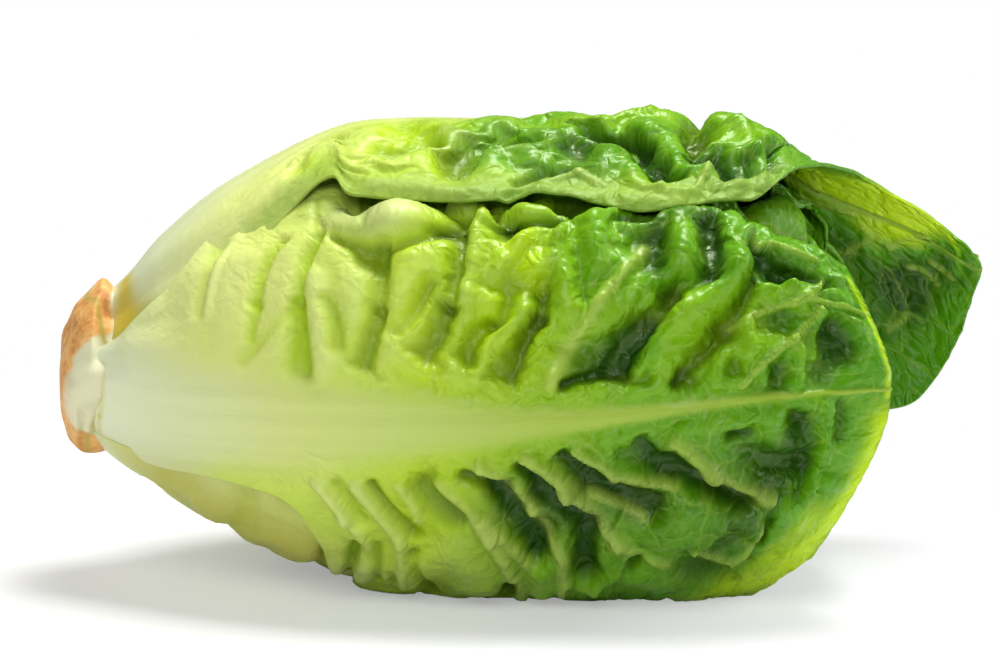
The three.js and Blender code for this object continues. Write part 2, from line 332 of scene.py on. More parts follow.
# Side veins, which stand out of the leaf and are painted too.
FRONT_VEINS = [
    (0.7, (0.9, 0.9), (104.5, 29), (96.8, 19.5), 0.3),
    (0.7, (0.9, 1.3), (96.8, 19.5), (89, 7), -0.3),
    (0.7, (0.5, 0.5), (125, 29.5), (139.5, 23.5), -0.5),
    (0.8, (0.5, 0.5), (119.5, 12), (130.5, 15.6), 0.5),
    (0.8, (0.5, 0.5), (130.5, 15.6), (139.5, 20), -0.6),
    (0.6, (0.5, 0.4), (134, 16), (146, 13.5), 0.4),
    (0.8, (0.5, 0.5), (121, 2.7), (130, 9.5), 0.4),
    (0.8, (0.5, 0.4), (130, 9.5), (136.5, 15.2), 0),
    (1.0, (1.0, 0.8), (48.5, -11), (54, -18), 0.3),
    (0.8, (0.8, 0.7), (54, -18), (58, -26), 0.5),
    (1.1, (1.0, 1.0), (55.7, -11), (63.5, -23), 0.3),
    (0.8, (1.0, 0.8), (63.5, -23), (64, -38), 0.3),
    (0.7, (0.7, 0.7), (63, -11), (66.5, -18), 0.4),
    (1.3, (0.9, 0.9), (70, -11), (78.5, -21.5), 0.3),
    (1.1, (0.9, 0.9), (78.5, -21.5), (85, -41), 0.8),
    (0.8, (0.6, 0.6), (77.5, -18), (85.3, -29.5), 0.4),
    (1.7, (0.9, 1.0), (77, -7.3), (85.7, -17.5), 0.9),
    (1.6, (1.0, 0.9), (85.7, -17.5), (91.3, -27), 0),
    (1.0, (0.9, 0.8), (91.3, -27), (92, -38), 0.2),
    (1.9, (1.1, 1.3), (84.5, -6.3), (91.5, -12.7), 0.8),
    (2.0, (1.3, 1.3), (91.5, -12.7), (101, -24.3), 0),
    (1.5, (1.2, 0.8), (101, -24.3), (109.5, -30), -0.3),
    (1.2, (0.7, 0.8), (93, -5.6), (99.5, -10.7), 0.4),
    (0.9, (0.8, 0.6), (99.5, -10.7), (110, -14.5), 0),
    (1.1, (0.6, 0.6), (95.5, -14.3), (105, -20), 0),
    (1.9, (1.1, 1.5), (109.8, -5.5), (116, -12.3), 0.5),
    (1.7, (1.5, 1.2), (116, -12.3), (127, -18.8), -0.3),
    (0.7, (0.5, 0.5), (114.5, -26.5), (121.5, -30.5), -0.4),
    (0.7, (0.5, 0.5), (121.5, -30.5), (126.2, -24), -1.2),
]

# Painted light and shade, with some tint: above 0 turns to young green, for light through thin tissue, lit
# folds and some paler edges; below 0 to the hollows' painted shade.
FRONT_LIGHT_AND_TINT = [
    (0.4, (6.0, 7.0), (32, -13), (60, -23), 0),
    (-0.26, (6.0, 7.0), (44, -29), (76, -38), 0),
    (-0.14, (5.0, 9.0), (78, -12), (90, -26), 0),
    (-0.14, (6.0, 7.0), (54, -17), (74, -19), 0),
    (0.18, (7.0, 8.0), (86, 12), (128, 12), 0),
    (-0.2, (4.0, 5.0), (92, -9), (122, -9), 0),
    (-0.3, (5.0, 8.0), (82, -17), (122, -20), 0),
    (0.9, (3.0, 5.0), (148, -6), (141, -36), 2.5),
    (0.9, (5.0, 4.5), (141, -36), (118, -46), 2.0),
    (0.5, (3.0, 3.5), (138, -24), (124, -40), 1.0),
    (0.9, (0.6, 0.6), (146.8, 20), (147.8, -1), 0.3),
    (-0.24, (4.4, 4.2), (50, 41), (58, 36), 0),
    (0.5, (3.0, 2.4), (84, 31), (86, 24), 0),
    (0.35, (2.4, 2.4), (79.5, 21.5), (77.5, 15), 0),
    (-0.6, (2.0, 2.0), (107, 31), (106.5, 24), 0),
    (-0.6, (2.0, 2.0), (117, 34), (116.5, 22), 0),
    (-0.8, (2.6, 1.6), (126, 25.5), (136, 20), -0.3),
    (-0.5, (2.6, 3.0), (93, 9), (104, 12), 0),
    (-0.5, (2.4, 2.4), (104, 36), (116, 33), 0),
    (-0.6, (2.8, 2.4), (138.5, 10.5), (140, 8), 0),
    (-0.5, (2.2, 1.6), (127.3, 5), (127.3, 2.5), 0),
    (-0.4, (2.0, 1.5), (128, 13), (130, 12.5), 0),
    (-0.6, (1.5, 2.3), (80, -11.5), (87.5, -25), 0),
    (-0.7, (1.6, 2.5), (85, -9), (96, -20), 0),
    (-0.7, (1.6, 2.6), (93, -9), (106, -17.5), 0),
    (-0.7, (1.8, 2.2), (106, -7.5), (121, -17.5), 0),
    (-0.6, (1.8, 2.0), (95.3, -24), (96, -31), 0),
    (-0.7, (2.4, 4.0), (131.5, -5), (127.5, -15), 0),
    (-0.4, (4.0, 5.0), (122.5, -23), (116, -33), 0),
]

# A place below 0 is on the top leaf's near half. Pits and creases come first, then puffs and the rolled rim.
TOP_FOLDS = [
    (-1.0, (1.3, 1.3), (62, -13), (65, -13), 0),
    (-1.0, (1.0, 1.0), (68.4, -13.5), (70, -13.8), 0),
    (-1.2, (1.6, 1.4), (61.5, -19.5), (63.5, -21.5), 0),
    (-1.1, (1.8, 1.8), (65.5, -21), (70, -19.5), 0),
    (-1.8, (2.2, 2.0), (75.3, -22.5), (75.8, -27.5), 0),
    (-1.0, (0.6, 0.6), (78.7, -21.5), (75, -30.3), 0.9),
    (-1.4, (1.4, 1.4), (82, -20.5), (87, -22), 0),
    (-1.6, (1.6, 1.6), (86, -15), (90, -15.5), 0),
    (-1.6, (0.8, 1.0), (84.5, -34), (88.5, -31.5), 0),
    (-1.1, (0.7, 0.7), (83, -37), (87.5, -35.5), 0),
    (-1.9, (1.3, 1.0), (91.2, -31), (93.2, -31.8), 0),
    (-1.4, (2.2, 2.2), (92.5, -22.5), (95, -24.5), 0),
    (-2.8, (1.5, 1.8), (96.5, -18.5), (101, -22.5), 0),
    (-2.8, (1.8, 1.5), (101, -22.5), (106, -27), 0),
    (-1.8, (1.8, 1.8), (106.5, -30), (109, -34), 0),
    (-2.2, (1.4, 1.0), (108.5, -36.5), (112, -38), 0),
    (-1.6, (0.7, 0.7), (110, -23), (113, -23), 0),
    (-1.7, (2.2, 1.8), (117.4, 0), (116.2, -12), 0),
    (-2.6, (1.8, 1.8), (115.3, -12), (115.2, -26), 0),
    (-2.0, (1.5, 1.5), (115.3, -26), (115, -34), 0),
    (-2.6, (2.0, 1.8), (118.5, -32), (121, -38), 0),
    (-1.6, (1.5, 1.5), (117.5, -23.5), (117.7, -25), 0),
    (-1.8, (1.7, 1.7), (124, -33), (124.8, -37), 0),
    (-1.8, (1.6, 1.6), (128.2, -28), (129.5, -34), 0),
    (0.8, (1.3, 1.3), (97, -16.5), (106.5, -13), 0),
    (0.9, (1.2, 1.2), (107.5, -13), (109.5, -14), 0),
    (0.9, (1.4, 1.4), (105, -19.5), (108, -23), 0),
    (0.8, (1.4, 1.4), (78.5, -17), (83, -15), 0),
    (1.6, (3.4, 3.0), (119.5, -20), (127, -23), 0.6),
    (1.1, (0.9, 0.9), (122, -22.5), (125.5, -31), 0),
    (1.1, (0.9, 1.0), (125.5, -31), (127, -41), 0),
    (1.0, (1.2, 1.2), (122.3, -38.5), (122.6, -41), 0),
    (0.9, (1.2, 1.2), (118, -37.5), (118.5, -41), 0),
    (0.9, (1.6, 1.8), (60, -30), (88, -37), -1.0),
    (0.9, (1.8, 1.8), (88, -37), (112, -44), -0.5),
    (0.8, (0.8, 0.8), (103.5, -36), (109, -41), -0.8),
    (0.8, (0.8, 0.7), (109, -41), (115.5, -43), -0.5),
]

# Side veins of the top leaf. Those with a height below 0 stand out of its inner face, which shows at the tip.
TOP_VEINS = [
    (0.8, (0.5, 0.5), (115.3, -42), (116.7, -36.5), 0),
    (0.5, (0.5, 0.5), (95, -33.5), (99, -38), 0),
    (0.5, (0.5, 0.5), (88.5, -35), (95, -33.5), 0),
    (-0.4, (0.6, 0.5), (133, 4), (140, 2.5), 0),
    (-0.5, (0.4, 0.4), (140, 2.5), (145, 1.5), 0),
    (-0.6, (0.4, 0.4), (146, 4), (151, 5.5), 0.4),
    (-0.6, (0.4, 0.3), (151, 6.2), (157.5, -0.5), -0.8),
    (-0.6, (0.4, 0.4), (158, 4), (162.5, 4.5), 0),
    (-0.6, (0.4, 0.4), (154.5, 8), (160, 8), -1.0),
    (-0.4, (0.4, 0.4), (147.5, 6), (143, 12), 0),
    (-0.4, (0.4, 0.4), (151.5, 22), (155, 17), 0),
    (-0.4, (0.4, 0.4), (138, -9), (138, 0), 0.8),
]

# Painted light and shade on the top leaf, with some tint: the bright young green at the tip is light through
# the thin leaf, painted in.
TOP_LIGHT_AND_TINT = [
    (-0.3, (5.0, 5.0), (84, -35), (97, -34), 0),
    (0.2, (5.0, 5.0), (84, -14), (124, -14), 0),
    (0.35, (2.6, 3.0), (58, -28), (82, -33), 0.5),
    (0.4, (3.0, 3.0), (82, -33), (113, -43), 0),
    (-0.25, (6.0, 5.0), (76, -20), (100, -24), 0),
    (0.15, (6.0, 6.0), (118, -26), (128, -28), 0),
    (0.95, (5.5, 6.5), (132, -5), (152, -6), 0),
    (0.95, (6.5, 4.5), (152, -6), (160, -9), 0),
    (0.5, (2.5, 2.0), (147, 4), (156, 2), 0),
    (0.4, (1.6, 1.6), (148, 8), (150.5, 9), 0),
    (0.6, (2.5, 2.5), (48, -16), (54, -25), 0.5),
    (0.4, (1.6, 1.6), (62, -11.5), (70, -12), 0),
    (0.6, (0.8, 0.8), (163.5, -6), (163.5, 3), 0),
    (-0.6, (4.0, 5.0), (133, 16), (143, 11), 0),
    (-0.7, (5.0, 4.0), (154, 12), (162, 2), 0),
    (-0.5, (5.0, 5.0), (150, 20), (154, 14), 0),
    (-0.7, (1.6, 1.6), (96.5, -18.5), (106, -27), 0),
    (-0.5, (2.0, 2.0), (106.5, -29), (109, -34), 0),
    (-0.5, (2.1, 1.8), (118.5, -31.5), (121, -38.5), 0),
    (-0.5, (1.4, 1.4), (124, -32), (125, -37), 0),
    (-0.5, (1.6, 1.6), (128.2, -27), (129.5, -34), 0),
    (-0.4, (1.5, 1.5), (86, -15.5), (90, -16), 0),
    (-0.35, (2.2, 2.2), (92, -22), (95, -24.5), 0),
    (-0.4, (0.9, 0.9), (91.2, -31), (93, -31.8), 0),
]

# Patches beside the stem, which are painted in ochre.
TOP_OCHRE = [
    (0.95, (1.6, 4.2), (8.6, -1), (8.2, -16), 0),
    (0.3, (2.0, 2.0), (10.5, -11), (14, -14), 0),
]

FRONT_OCHRE = [
    (0.5, (0.5, 0.6), (5.2, 7), (4.4, -3), 0.4),
    (0.5, (0.5, 0.6), (4.4, -3), (5.0, -12), -0.4),
]

# A stroke of painted light, with some tint, on the under leaf beside the stem.
UNDER_LIGHT_AND_TINT = [(0.35, (9.0, 10.0), (12, 20), (44, 34), 0)]
UNDER_OCHRE = [(0.5, (9.0, 10.0), (12, 20), (46, 34), 0)]


def along_arcs(arcs, x, y, base_side=1.0):
    """The summed height of the arcs at each place. Above 1, base_side eases their slope towards the base."""
    total = np.zeros_like(x)
    for height, half_widths, (ax, ay), (bx, by), bow in arcs:
        dx, dy = bx - ax, by - ay
        long = math.hypot(dx, dy)
        reach = 2.2 * max(half_widths) * base_side + abs(bow)
        near = (x > min(ax, bx) - reach) & (x < max(ax, bx) + reach)
        near &= (y > min(ay, by) - reach) & (y < max(ay, by) + reach)
        px, py = x[near] - ax, y[near] - ay
        forward = (px * dx + py * dy) / long
        t = np.clip(forward / long, 0, 1)
        left = (py * dx - px * dy) / long - 4 * bow * t * (1 - t)
        eased = 1 + (base_side - 1) * abs(dy) / long
        left = np.where(left * dy > 0, left / eased, left)
        half_width = half_widths[0] + (half_widths[1] - half_widths[0]) * t
        far = np.hypot(left, forward - t * long)
        total[near] += height * np.exp(-0.8 * (far / half_width) ** 2.4)
    return total


# ---------------------------------------------------------------- a leaf before it crinkles


def leaf_plan(index):
    """What sets one leaf apart, in head millimetres and degrees round the axis."""
    share = index / (LEAF_COUNT - 1)
    ends = zip(OUTER_LINE, INNER_LINE)
    turn = FIRST_LEAF_TURN - TURN_BETWEEN_LEAVES * index
    margin = [(0, 46), (0.16, 54), (0.33, 68), (0.5, 82), (0.67, 86), (0.83, 80), (0.94, 62), (1, 42)]
    return {
        "index": index,
        # The midrib's turn at even steps, and its line.
        "turn": [turn, turn],
        "line": [[a + (c - a) * share, b + (d - b) * share] for (a, b), (c, d) in ends],
        # The spread to each side as (share of the length, degrees), and the tip's rounding on each side.
        "low": margin,
        "high": margin,
        "tip": (0.2, 0.2, 2.2),
        # The midrib's half width at even steps, its height, and the side veins on each side of it.
        "rib_half": [7.5 - 4 * share, 4.5 - 2 * share, 2.0, 0.6],
        "rib_height": 1.2 - 0.5 * share,
        "veins_low": even_veins(9, 0.16),
        "veins_high": even_veins(9, 0.16),
        # How far the blade stands out and in between its veins, its extra growth along and across, how far it
        # may buckle in and out, and the height of its fine quilting.
        "pleat": (1.6 - share, 1.2 - 0.6 * share),
        "grow": (0.2, 0.1),
        "room": (1.6, 1.2),
        "quilt": 0.16,
        # How high the leaf stays above the floor, and where it is tucked in, as (depth, turn where the tuck
        # starts, turn where it is full, and the same two for the distance along the axis).
        "level": 1.2 * max(0, index - 1),
        "tucks": [],
        # Colours that are listed: side veins, strokes of painted light and shade with some tint, ochre
        # patches, how much painted light the outer face of the tip loses, and a pale rim.
        "veins": [],
        "light_and_tint_strokes": [],
        "ochre": [],
        "outer_tip_light_cut": 0.0,
        "pale_rim": 0.0,
        "rows": 96,
        "columns": 84,
    }


def even_veins(count, lean):
    """Side veins as (where it leaves the midrib, where it meets the edge), in shares of the leaf's length."""
    return [((k + 0.4) / count, (k + 0.4) / count + lean * (0.4 + k / count)) for k in range(count + 1)]


def front_plan(rows):
    """The large leaf that faces the front, with the broad pale midrib."""
    plan = leaf_plan(1)
    plan.update({
        "turn": [-17, -12, -7, -4.5, -3, -2, 0, 2.5, 4, 4],
        "line": [
            [4.6, 11.8], [11, 16.8], [19, 22.6], [31, 30.2], [47, 37.8], [66, 42.0],
            [86, 43.4], [105, 43.4], [119, 42.0], [131.5, 38.8], [143, 33.0],
        ],
        "high": [
            (0, 34), (0.05, 42), (0.09, 52), (0.14, 62), (0.19, 74), (0.24, 82), (0.32, 86), (0.42, 82),
            (0.5, 76), (0.7, 76), (0.78, 66), (0.84, 52), (0.9, 39), (0.95, 33), (1, 27),
        ],
        "low": [
            (0, 36), (0.06, 35), (0.11, 31), (0.17, 25), (0.25, 24), (0.295, 27), (0.325, 38), (0.36, 56),
            (0.41, 70), (0.47, 76), (0.6, 79), (0.74, 77), (0.82, 66), (0.9, 50), (1, 36),
        ],
        "tip": (0.10, 0.06, 2.0),
        "rib_half": [11.5, 9.6, 8.2, 7.2, 5.4, 3.2, 1.8, 1.0, 0.6, 0.3],
        "rib_height": 1.3,
        "veins_high": [
            (0.05, 0.07), (0.10, 0.13), (0.16, 0.22), (0.235, 0.29), (0.29, 0.355), (0.372, 0.42),
            (0.45, 0.535), (0.51, 0.60), (0.54, 0.68), (0.585, 0.785), (0.645, 0.91), (0.727, 1.19),
            (0.82, 1.35), (0.92, 1.5),
        ],
        "veins_low": [
            (0.06, 0.10), (0.12, 0.18), (0.19, 0.27), (0.26, 0.36), (0.33, 0.50), (0.39, 0.59), (0.45, 0.67),
            (0.51, 0.76), (0.57, 0.88), (0.62, 1.02), (0.69, 1.12), (0.76, 1.22), (0.84, 1.3), (0.92, 1.4),
        ],
        "grow": (0.08, 0.05),
        "room": (0.9, 0.6),
        "tucks": [
            (1.6, 45, 57, 20, 30), (4.2, 45, 57, 44, 58), (4.0, 40, 48, 112, 122), (1.0, 0, 14, 14, 9),
            (1.5, 16, 34, 28, 19),
        ],
        "veins": FRONT_VEINS,
        "light_and_tint_strokes": FRONT_LIGHT_AND_TINT,
        "ochre": FRONT_OCHRE,
        "rows": rows,
        "columns": 212,
    })
    return plan


def top_plan(rows):
    """The outermost leaf: its midrib runs along the top, its near edge folds over and its tip curls."""
    plan = leaf_plan(0)
    plan.update({
        "turn": [84, 90, 95, 99, 103, 106, 110, 117, 129, 143, 158],
        "line": [
            [5.8, 9.2], [12.8, 15.2], [19, 21.8], [31, 30.8], [48, 39.4], [60, 41.2], [75, 41.3], [90, 41.6],
            [107, 41.8], [116, 40.4], [125, 37.3], [131, 34.6], [142, 32.8], [152, 31.8], [161, 28.5],
        ],
        "low": [
            (0, 54), (0.06, 60), (0.12, 61), (0.18, 51), (0.24, 42), (0.28, 36), (0.315, 35), (0.34, 44),
            (0.42, 50), (0.5, 52.5), (0.55, 54), (0.63, 62), (0.7, 63), (0.747, 64), (0.775, 57), (0.82, 41),
            (0.85, 31), (0.9, 18), (0.95, 13), (1, 8),
        ],
        "high": [
            (0, 80), (0.1, 88), (0.2, 94), (0.33, 98), (0.5, 100), (0.67, 98), (0.8, 84), (0.87, 68),
            (0.92, 57), (0.95, 43), (0.975, 27), (1, 9),
        ],
        "tip": (0.02, 0.02, 2.0),
        "rib_half": [10, 9, 8, 6.5, 4.5, 3.0, 2.0, 1.3, 0.9, 0.6],
        "rib_height": 1.0,
        "veins_high": even_veins(12, 0.2),
        "veins_low": even_veins(15, 0.12),
        "grow": (0.08, 0.06),
        "room": (0.9, 0.9),
        "tucks": [(2.6, 72, 56, 50, 40)],
        "veins": TOP_VEINS,
        "light_and_tint_strokes": TOP_LIGHT_AND_TINT,
        "ochre": TOP_OCHRE,
        "outer_tip_light_cut": 0.8,
        "pale_rim": 0.72,
        "rows": rows,
        "columns": 212,
    })
    return plan


def under_plan():
    """The outer leaf that the head lies on."""
    plan = leaf_plan(2)
    plan.update({
        "turn": [-108, -112, -115, -115],
        "line": [
            [7, 14.0], [13, 18.4], [22, 24.0], [34, 30.8], [50, 36.4], [68, 39.0], [88, 39.8], [107, 39.2],
            [121, 34.5], [131, 27], [137, 17],
        ],
        "high": [(0, 60), (0.12, 78), (0.3, 88), (0.5, 88), (0.67, 86), (0.83, 80), (0.94, 62), (1, 42)],
        "low": [(0, 68), (0.12, 78), (0.3, 82), (0.5, 84), (0.67, 84), (0.83, 78), (0.94, 60), (1, 42)],
        "tucks": [(3.5, -80, -66, 44, 56), (0.7, -58, -46, 16, 26), (2.6, -138, -157, 4, 8)],
        "room": (2.0, 1.6),
        "light_and_tint_strokes": UNDER_LIGHT_AND_TINT,
        "ochre": UNDER_OCHRE,
        "rows": 150,
        "columns": 140,
    })
    return plan


def back_plan():
    """The outer leaf on the far side."""
    plan = leaf_plan(3)
    plan.update({
        "turn": [150, 140, 130, 130],
        "line": [
            [7, 10.4], [15, 15.8], [24, 21.8], [36, 28.6], [52, 34.0], [69, 36.4], [88, 37.0], [106, 36.0],
            [119, 32.8], [129, 26.6], [135, 18],
        ],
        "low": [
            (0, 40), (0.08, 44), (0.16, 52), (0.33, 68), (0.5, 80), (0.67, 74), (0.83, 54), (0.94, 40),
            (1, 28),
        ],
        "high": [(0, 60), (0.16, 66), (0.33, 72), (0.5, 82), (0.67, 86), (0.83, 80), (0.94, 62), (1, 42)],
        "tucks": [(3.0, 80, 66, 44, 56), (3.4, 150, 166, 4, 8)],
        "room": (1.2, 1.0),
        "rows": 130,
        "columns": 120,
    })
    return plan


def share_table(line):
    """Shares of a line's length, the shares of its points that they fall at, and the whole length."""
    t = np.linspace(0, 1, 400)
    points = smooth_curve(line, t)
    run = np.concatenate([[0], np.cumsum(np.linalg.norm(np.diff(points, axis=0), axis=1))])
    return run / run[-1], t, run[-1]


def along_knots(knots, share):
    """A smooth line through (share, value) knots."""
    points = smooth_curve(knots, np.linspace(0, 1, 300))
    return np.interp(share, points[:, 0], points[:, 1])


def even_knots(values, share):
    """A smooth line through values at even steps."""
    return smooth_curve(np.array(values, float)[:, None], share)[..., 0]


def smooth_surface(plan, along, across):
    """The leaf's surface with no crinkles: along runs from base to tip and across from -1 to 1."""
    lengths, shares, _ = share_table(plan["line"])
    round_low, round_high, power = plan["tip"]
    round_by = np.where(across < 0, round_low, round_high)
    back = along * (1 - round_by * np.abs(across) ** power * along**3)
    line = smooth_curve(plan["line"], np.interp(back, lengths, shares))
    spread = across * np.where(across < 0, along_knots(plan["low"], back), along_knots(plan["high"], back))
    turn = np.radians(even_knots(plan["turn"], along) + spread)
    x, radius = line[..., 0], line[..., 1]
    for depth, turn_from, turn_to, x_from, x_to in plan["tucks"]:
        radius = radius - depth * ramp(turn_from, turn_to, np.degrees(turn)) * ramp(x_from, x_to, x)
    p = np.stack([x, -radius * np.cos(turn), AXIS_HEIGHT + radius * np.sin(turn)], axis=-1)
    p[..., 2] = np.maximum(p[..., 2], plan["level"] + FLOOR_GAP)
    return p


def normals(p):
    """Outward directions of a grid of points."""
    n = np.cross(np.gradient(p, axis=0), np.gradient(p, axis=1))
    return n / np.maximum(np.linalg.norm(n, axis=-1, keepdims=True), 1e-9)


# ---------------------------------------------------------------- growing the crinkles

DEEPEST_FOLD = 3.4  # millimetres, where the front leaf's pockets level out
VEINS_ALONG = 12.0  # side veins in a leaf's length, which sets the distance between two of them
QUILT_SIZE = 4.6  # millimetres across one puff of the fine quilting

# Links between grid points, as (rows apart, columns apart, stiffness). The last two resist bending.
LINKS = [(1, 0, 1.0), (0, 1, 1.0), (1, 1, 0.7), (1, -1, 0.7), (2, 0, 0.25), (0, 2, 0.25)]


def linked(field, di, dj):
    """The field at the two ends of every link."""
    rows, columns = field.shape[:2]
    if dj < 0:
        return field[: rows - di, -dj:], field[di:, : columns + dj]
    return field[: rows - di, : columns - dj], field[di:, dj:]


def pull(p, di, dj, rest, k, still):
    """Moves each pair of points that are di rows and dj columns apart towards its rest length."""
    a, b = linked(p, di, dj)
    wa, wb = linked(still, di, dj)
    step = di if di else dj
    for first in range(2):
        for offset in range(step):
            cut = slice(first * step + offset, None, 2 * step)
            pick = (cut, slice(None)) if di else (slice(None), cut)
            pa, pb = a[pick], b[pick]
            d = pb - pa
            long = np.sqrt(np.einsum("ijk,ijk->ij", d, d)) + 1e-9
            move = (k * (long - rest[pick]) / long / (wa[pick] + wb[pick] + 1e-9))[..., None] * d
            pa += move * wa[pick][..., None]
            pb -= move * wb[pick][..., None]


def grown_length(folded, di, dj, grow_along, grow_across):
    """A link's length once the folded leaf has grown in its two directions."""
    a, b = linked(folded, di, dj)
    grow = (grow_along * di * di + grow_across * dj * dj) / (di * di + dj * dj)
    ga, gb = linked(grow, di, dj)
    return np.linalg.norm(b - a, axis=-1) * (1 + (ga + gb) / 2)


def resample(field, rows, columns):
    """A grid at another number of rows and columns."""
    old_rows, old_columns = field.shape[:2]
    r, c = np.linspace(0, old_rows - 1, rows), np.linspace(0, old_columns - 1, columns)
    i, j = np.minimum(r.astype(int), old_rows - 2), np.minimum(c.astype(int), old_columns - 2)
    fr, fc = (r - i).reshape(-1, 1, 1), (c - j).reshape(1, -1, 1)
    near = field[np.ix_(i, j)] * (1 - fc) + field[np.ix_(i, j + 1)] * fc
    far = field[np.ix_(i + 1, j)] * (1 - fc) + field[np.ix_(i + 1, j + 1)] * fc
    return near * (1 - fr) + far * fr


def relax(p, f, g, floor, still, slide, extra, rounds, stiff):
    """Lets the sheet reach its grown size, held near its folds and above the floor."""
    base, n, folds = f["base"], f["normal"], g["folds"]
    folded = base + n * folds[..., None]
    links = []
    for di, dj, k in LINKS:
        bends = max(di, abs(dj)) == 2
        rest = grown_length(folded, di, dj, g["along"] * extra, g["across"] * extra)
        links.append((di, dj, rest, k * (stiff if bends else 1)))
    for _ in range(rounds):
        for di, dj, rest, k in links:
            pull(p, di, dj, rest, k, still)
        d = p - base
        out = np.einsum("ijk,ijk->ij", d, n)
        side = d - out[..., None] * n
        far = np.linalg.norm(side, axis=-1) + 1e-9
        side *= np.minimum(1, slide / far)[..., None]
        held = folds + np.clip(out - folds, g["low"], g["high"])
        p[:] = base + side + (held + 0.5 * (out - held))[..., None] * n
        np.maximum(p[..., 2], floor, out=p[..., 2])


def vein_phase(veins, along, across):
    """How many secondary veins lie between the leaf's base and each point, counted in fractions."""
    starts, ends = np.array(veins).T
    phase = np.empty(along.shape)
    for j in range(along.shape[1]):
        place = starts + (ends - starts) * abs(across[0, j]) ** 1.15
        phase[:, j] = np.interp(along[:, j], place, np.arange(len(veins)))
    return phase


def leaf_fields(plan, rows, columns):
    """The leaf's smooth surface and the maps that its crinkles and colours follow, on a grid."""
    along, across = np.meshgrid(np.linspace(0, 1, rows), np.linspace(-1, 1, columns), indexing="ij")
    base = smooth_surface(plan, along, across)
    full = share_table(plan["line"])[2]
    arc = np.linalg.norm(np.diff(base, axis=1), axis=-1)
    y = np.concatenate([np.zeros((rows, 1)), np.cumsum(arc, axis=1)], axis=1)
    y -= y[:, columns // 2][:, None]
    x = along * full
    high = across > 0
    phase_high = vein_phase(plan["veins_high"], along, across)
    phase_low = vein_phase(plan["veins_low"], along, across) + 40
    phase = np.where(high, phase_high, phase_low) + 0.22 * soft_noise(x, y, 11, 31 + plan["index"])
    cell = np.floor(phase)
    half_width = np.where(high, y[:, -1:], -y[:, :1])
    return {
        "along": along,
        "across": across,
        "base": base,
        "normal": normals(base),
        "x": x,
        "y": y,
        "length": full,
        # The place between two side veins from 0 to 1, and a random number for each strip between them.
        "between": np.mod(phase, 1),
        "chance": lattice(cell, np.zeros_like(cell) + plan["index"], 9),
        "rib_half": even_knots(plan["rib_half"], along),
        # Millimetres from the leaf's edge.
        "edge": np.minimum((1 - np.abs(across)) * half_width, (1 - along) * full),
    }


def common_growth(plan, f):
    """Where a leaf folds, how much more its blade grows than its ribs, and how far it may leave its folds."""
    off_rib = ramp(0.85, 1.9, np.abs(f["y"]) / np.maximum(f["rib_half"], 2.0))
    puff = np.sin(np.pi * f["between"]) ** 0.7
    out, into = plan["pleat"]
    folds = (puff * (out + into) - into) * off_rib * (0.4 + 1.1 * f["chance"])
    folds += off_rib * 0.6 * soft_noise(f["x"], f["y"], 9, 11 + plan["index"])
    spread = ramp(0.1, 0.75, np.abs(f["across"]))
    grow_along, grow_across = plan["grow"]
    start = ramp(0.02, 0.2, f["along"])
    deep, proud = plan["room"]
    uneven = 1 + 0.35 * soft_noise(f["x"], f["y"], 13, 21 + plan["index"])
    return {
        "folds": folds * start,
        "along": off_rib * (0.04 + grow_along * spread) * start,
        "across": off_rib * (0.03 + grow_across * ramp(0.2, 0.6, f["along"])) * start,
        "low": -(0.15 + deep * off_rib * uneven),
        "high": 0.15 + proud * off_rib * uneven,
        "calm": np.ones_like(folds),
    }


def calmed(g, calm, folds):
    """A growth that dies away where calm is 0, under folds that are given."""
    g["folds"] = g["folds"] * 0.25 * calm + folds
    for key in ("along", "across", "low", "high"):
        g[key] = g[key] * calm
    g["calm"] = calm
    return g


def front_growth(plan, f):
    """The front leaf: its listed folds, with a calm margin near the tip."""
    g = common_growth(plan, f)
    x, y = f["x"], f["y"]
    margin = (1 - ramp(6, 20, f["edge"])) * ramp(0.74, 0.86, f["along"])
    base_edge = (1 - ramp(12, 24, f["edge"])) * (1 - ramp(0.34, 0.46, f["along"])) * (f["across"] < 0)
    ridged = 0.6 * (1 - ramp(100, 120, x)) * ramp(5, 10, -y)
    panels = 0.9 * (1 - ramp(40, 80, x)) * (y > 0)
    calm = 1 - np.maximum.reduce([0.92 * margin, base_edge, panels, ridged])
    folds = along_arcs(FRONT_CRESTS, x, y) + along_arcs(FRONT_VEINS, x, y)
    folds += along_arcs(FRONT_POCKETS, x, y, 1.2)
    folds *= 1.15 - 0.6 * (1 - ramp(40, 90, x)) * (y > 0)
    folds += along_arcs(FRONT_CREASES, x, y, 2.4) * (0.8 + 0.3 * ramp(40, 90, x))
    folds = np.where(folds < 0, DEEPEST_FOLD * np.tanh(folds / DEEPEST_FOLD), folds)
    return calmed(g, calm, folds)


def top_growth(plan, f):
    """The top leaf: smooth beside the stem, puckered above its near edge, and smoother again at its tip."""
    g = common_growth(plan, f)
    x, y = f["x"], f["y"]
    near_edge = (1 - ramp(3, 11, f["edge"])) * (f["across"] < 0)
    calm = (1 - np.maximum(0.85 * near_edge, ramp(0.76, 0.84, f["along"]))) * ramp(0.16, 0.36, f["along"])
    puckers = along_arcs(TOP_FOLDS, x, y, 1.5) + along_arcs(TOP_VEINS, x, y)
    return calmed(g, calm, 1.1 * puckers)


def under_growth(plan, f):
    """The under leaf: drawn smooth over the head near the stem, and crinkled further on."""
    g = common_growth(plan, f)
    calm = ramp(0.2, 0.5, f["along"])
    for key in ("folds", "along", "across", "low", "high"):
        g[key] = g[key] * (0.2 + 0.8 * calm)
    g["calm"] = calm
    return g


# How a leaf is grown, as (grid coarser by, rounds, stiffness, extra growth, blister size, blister height).
GROWTH_STEPS = [
    (4, 110, 1.0, 1.0, 0, 0),
    (2, 80, 0.6, 1.15, 6.5, 0.9),
    (1, 50, 0.3, 1.25, 3.0, 0.4),
]


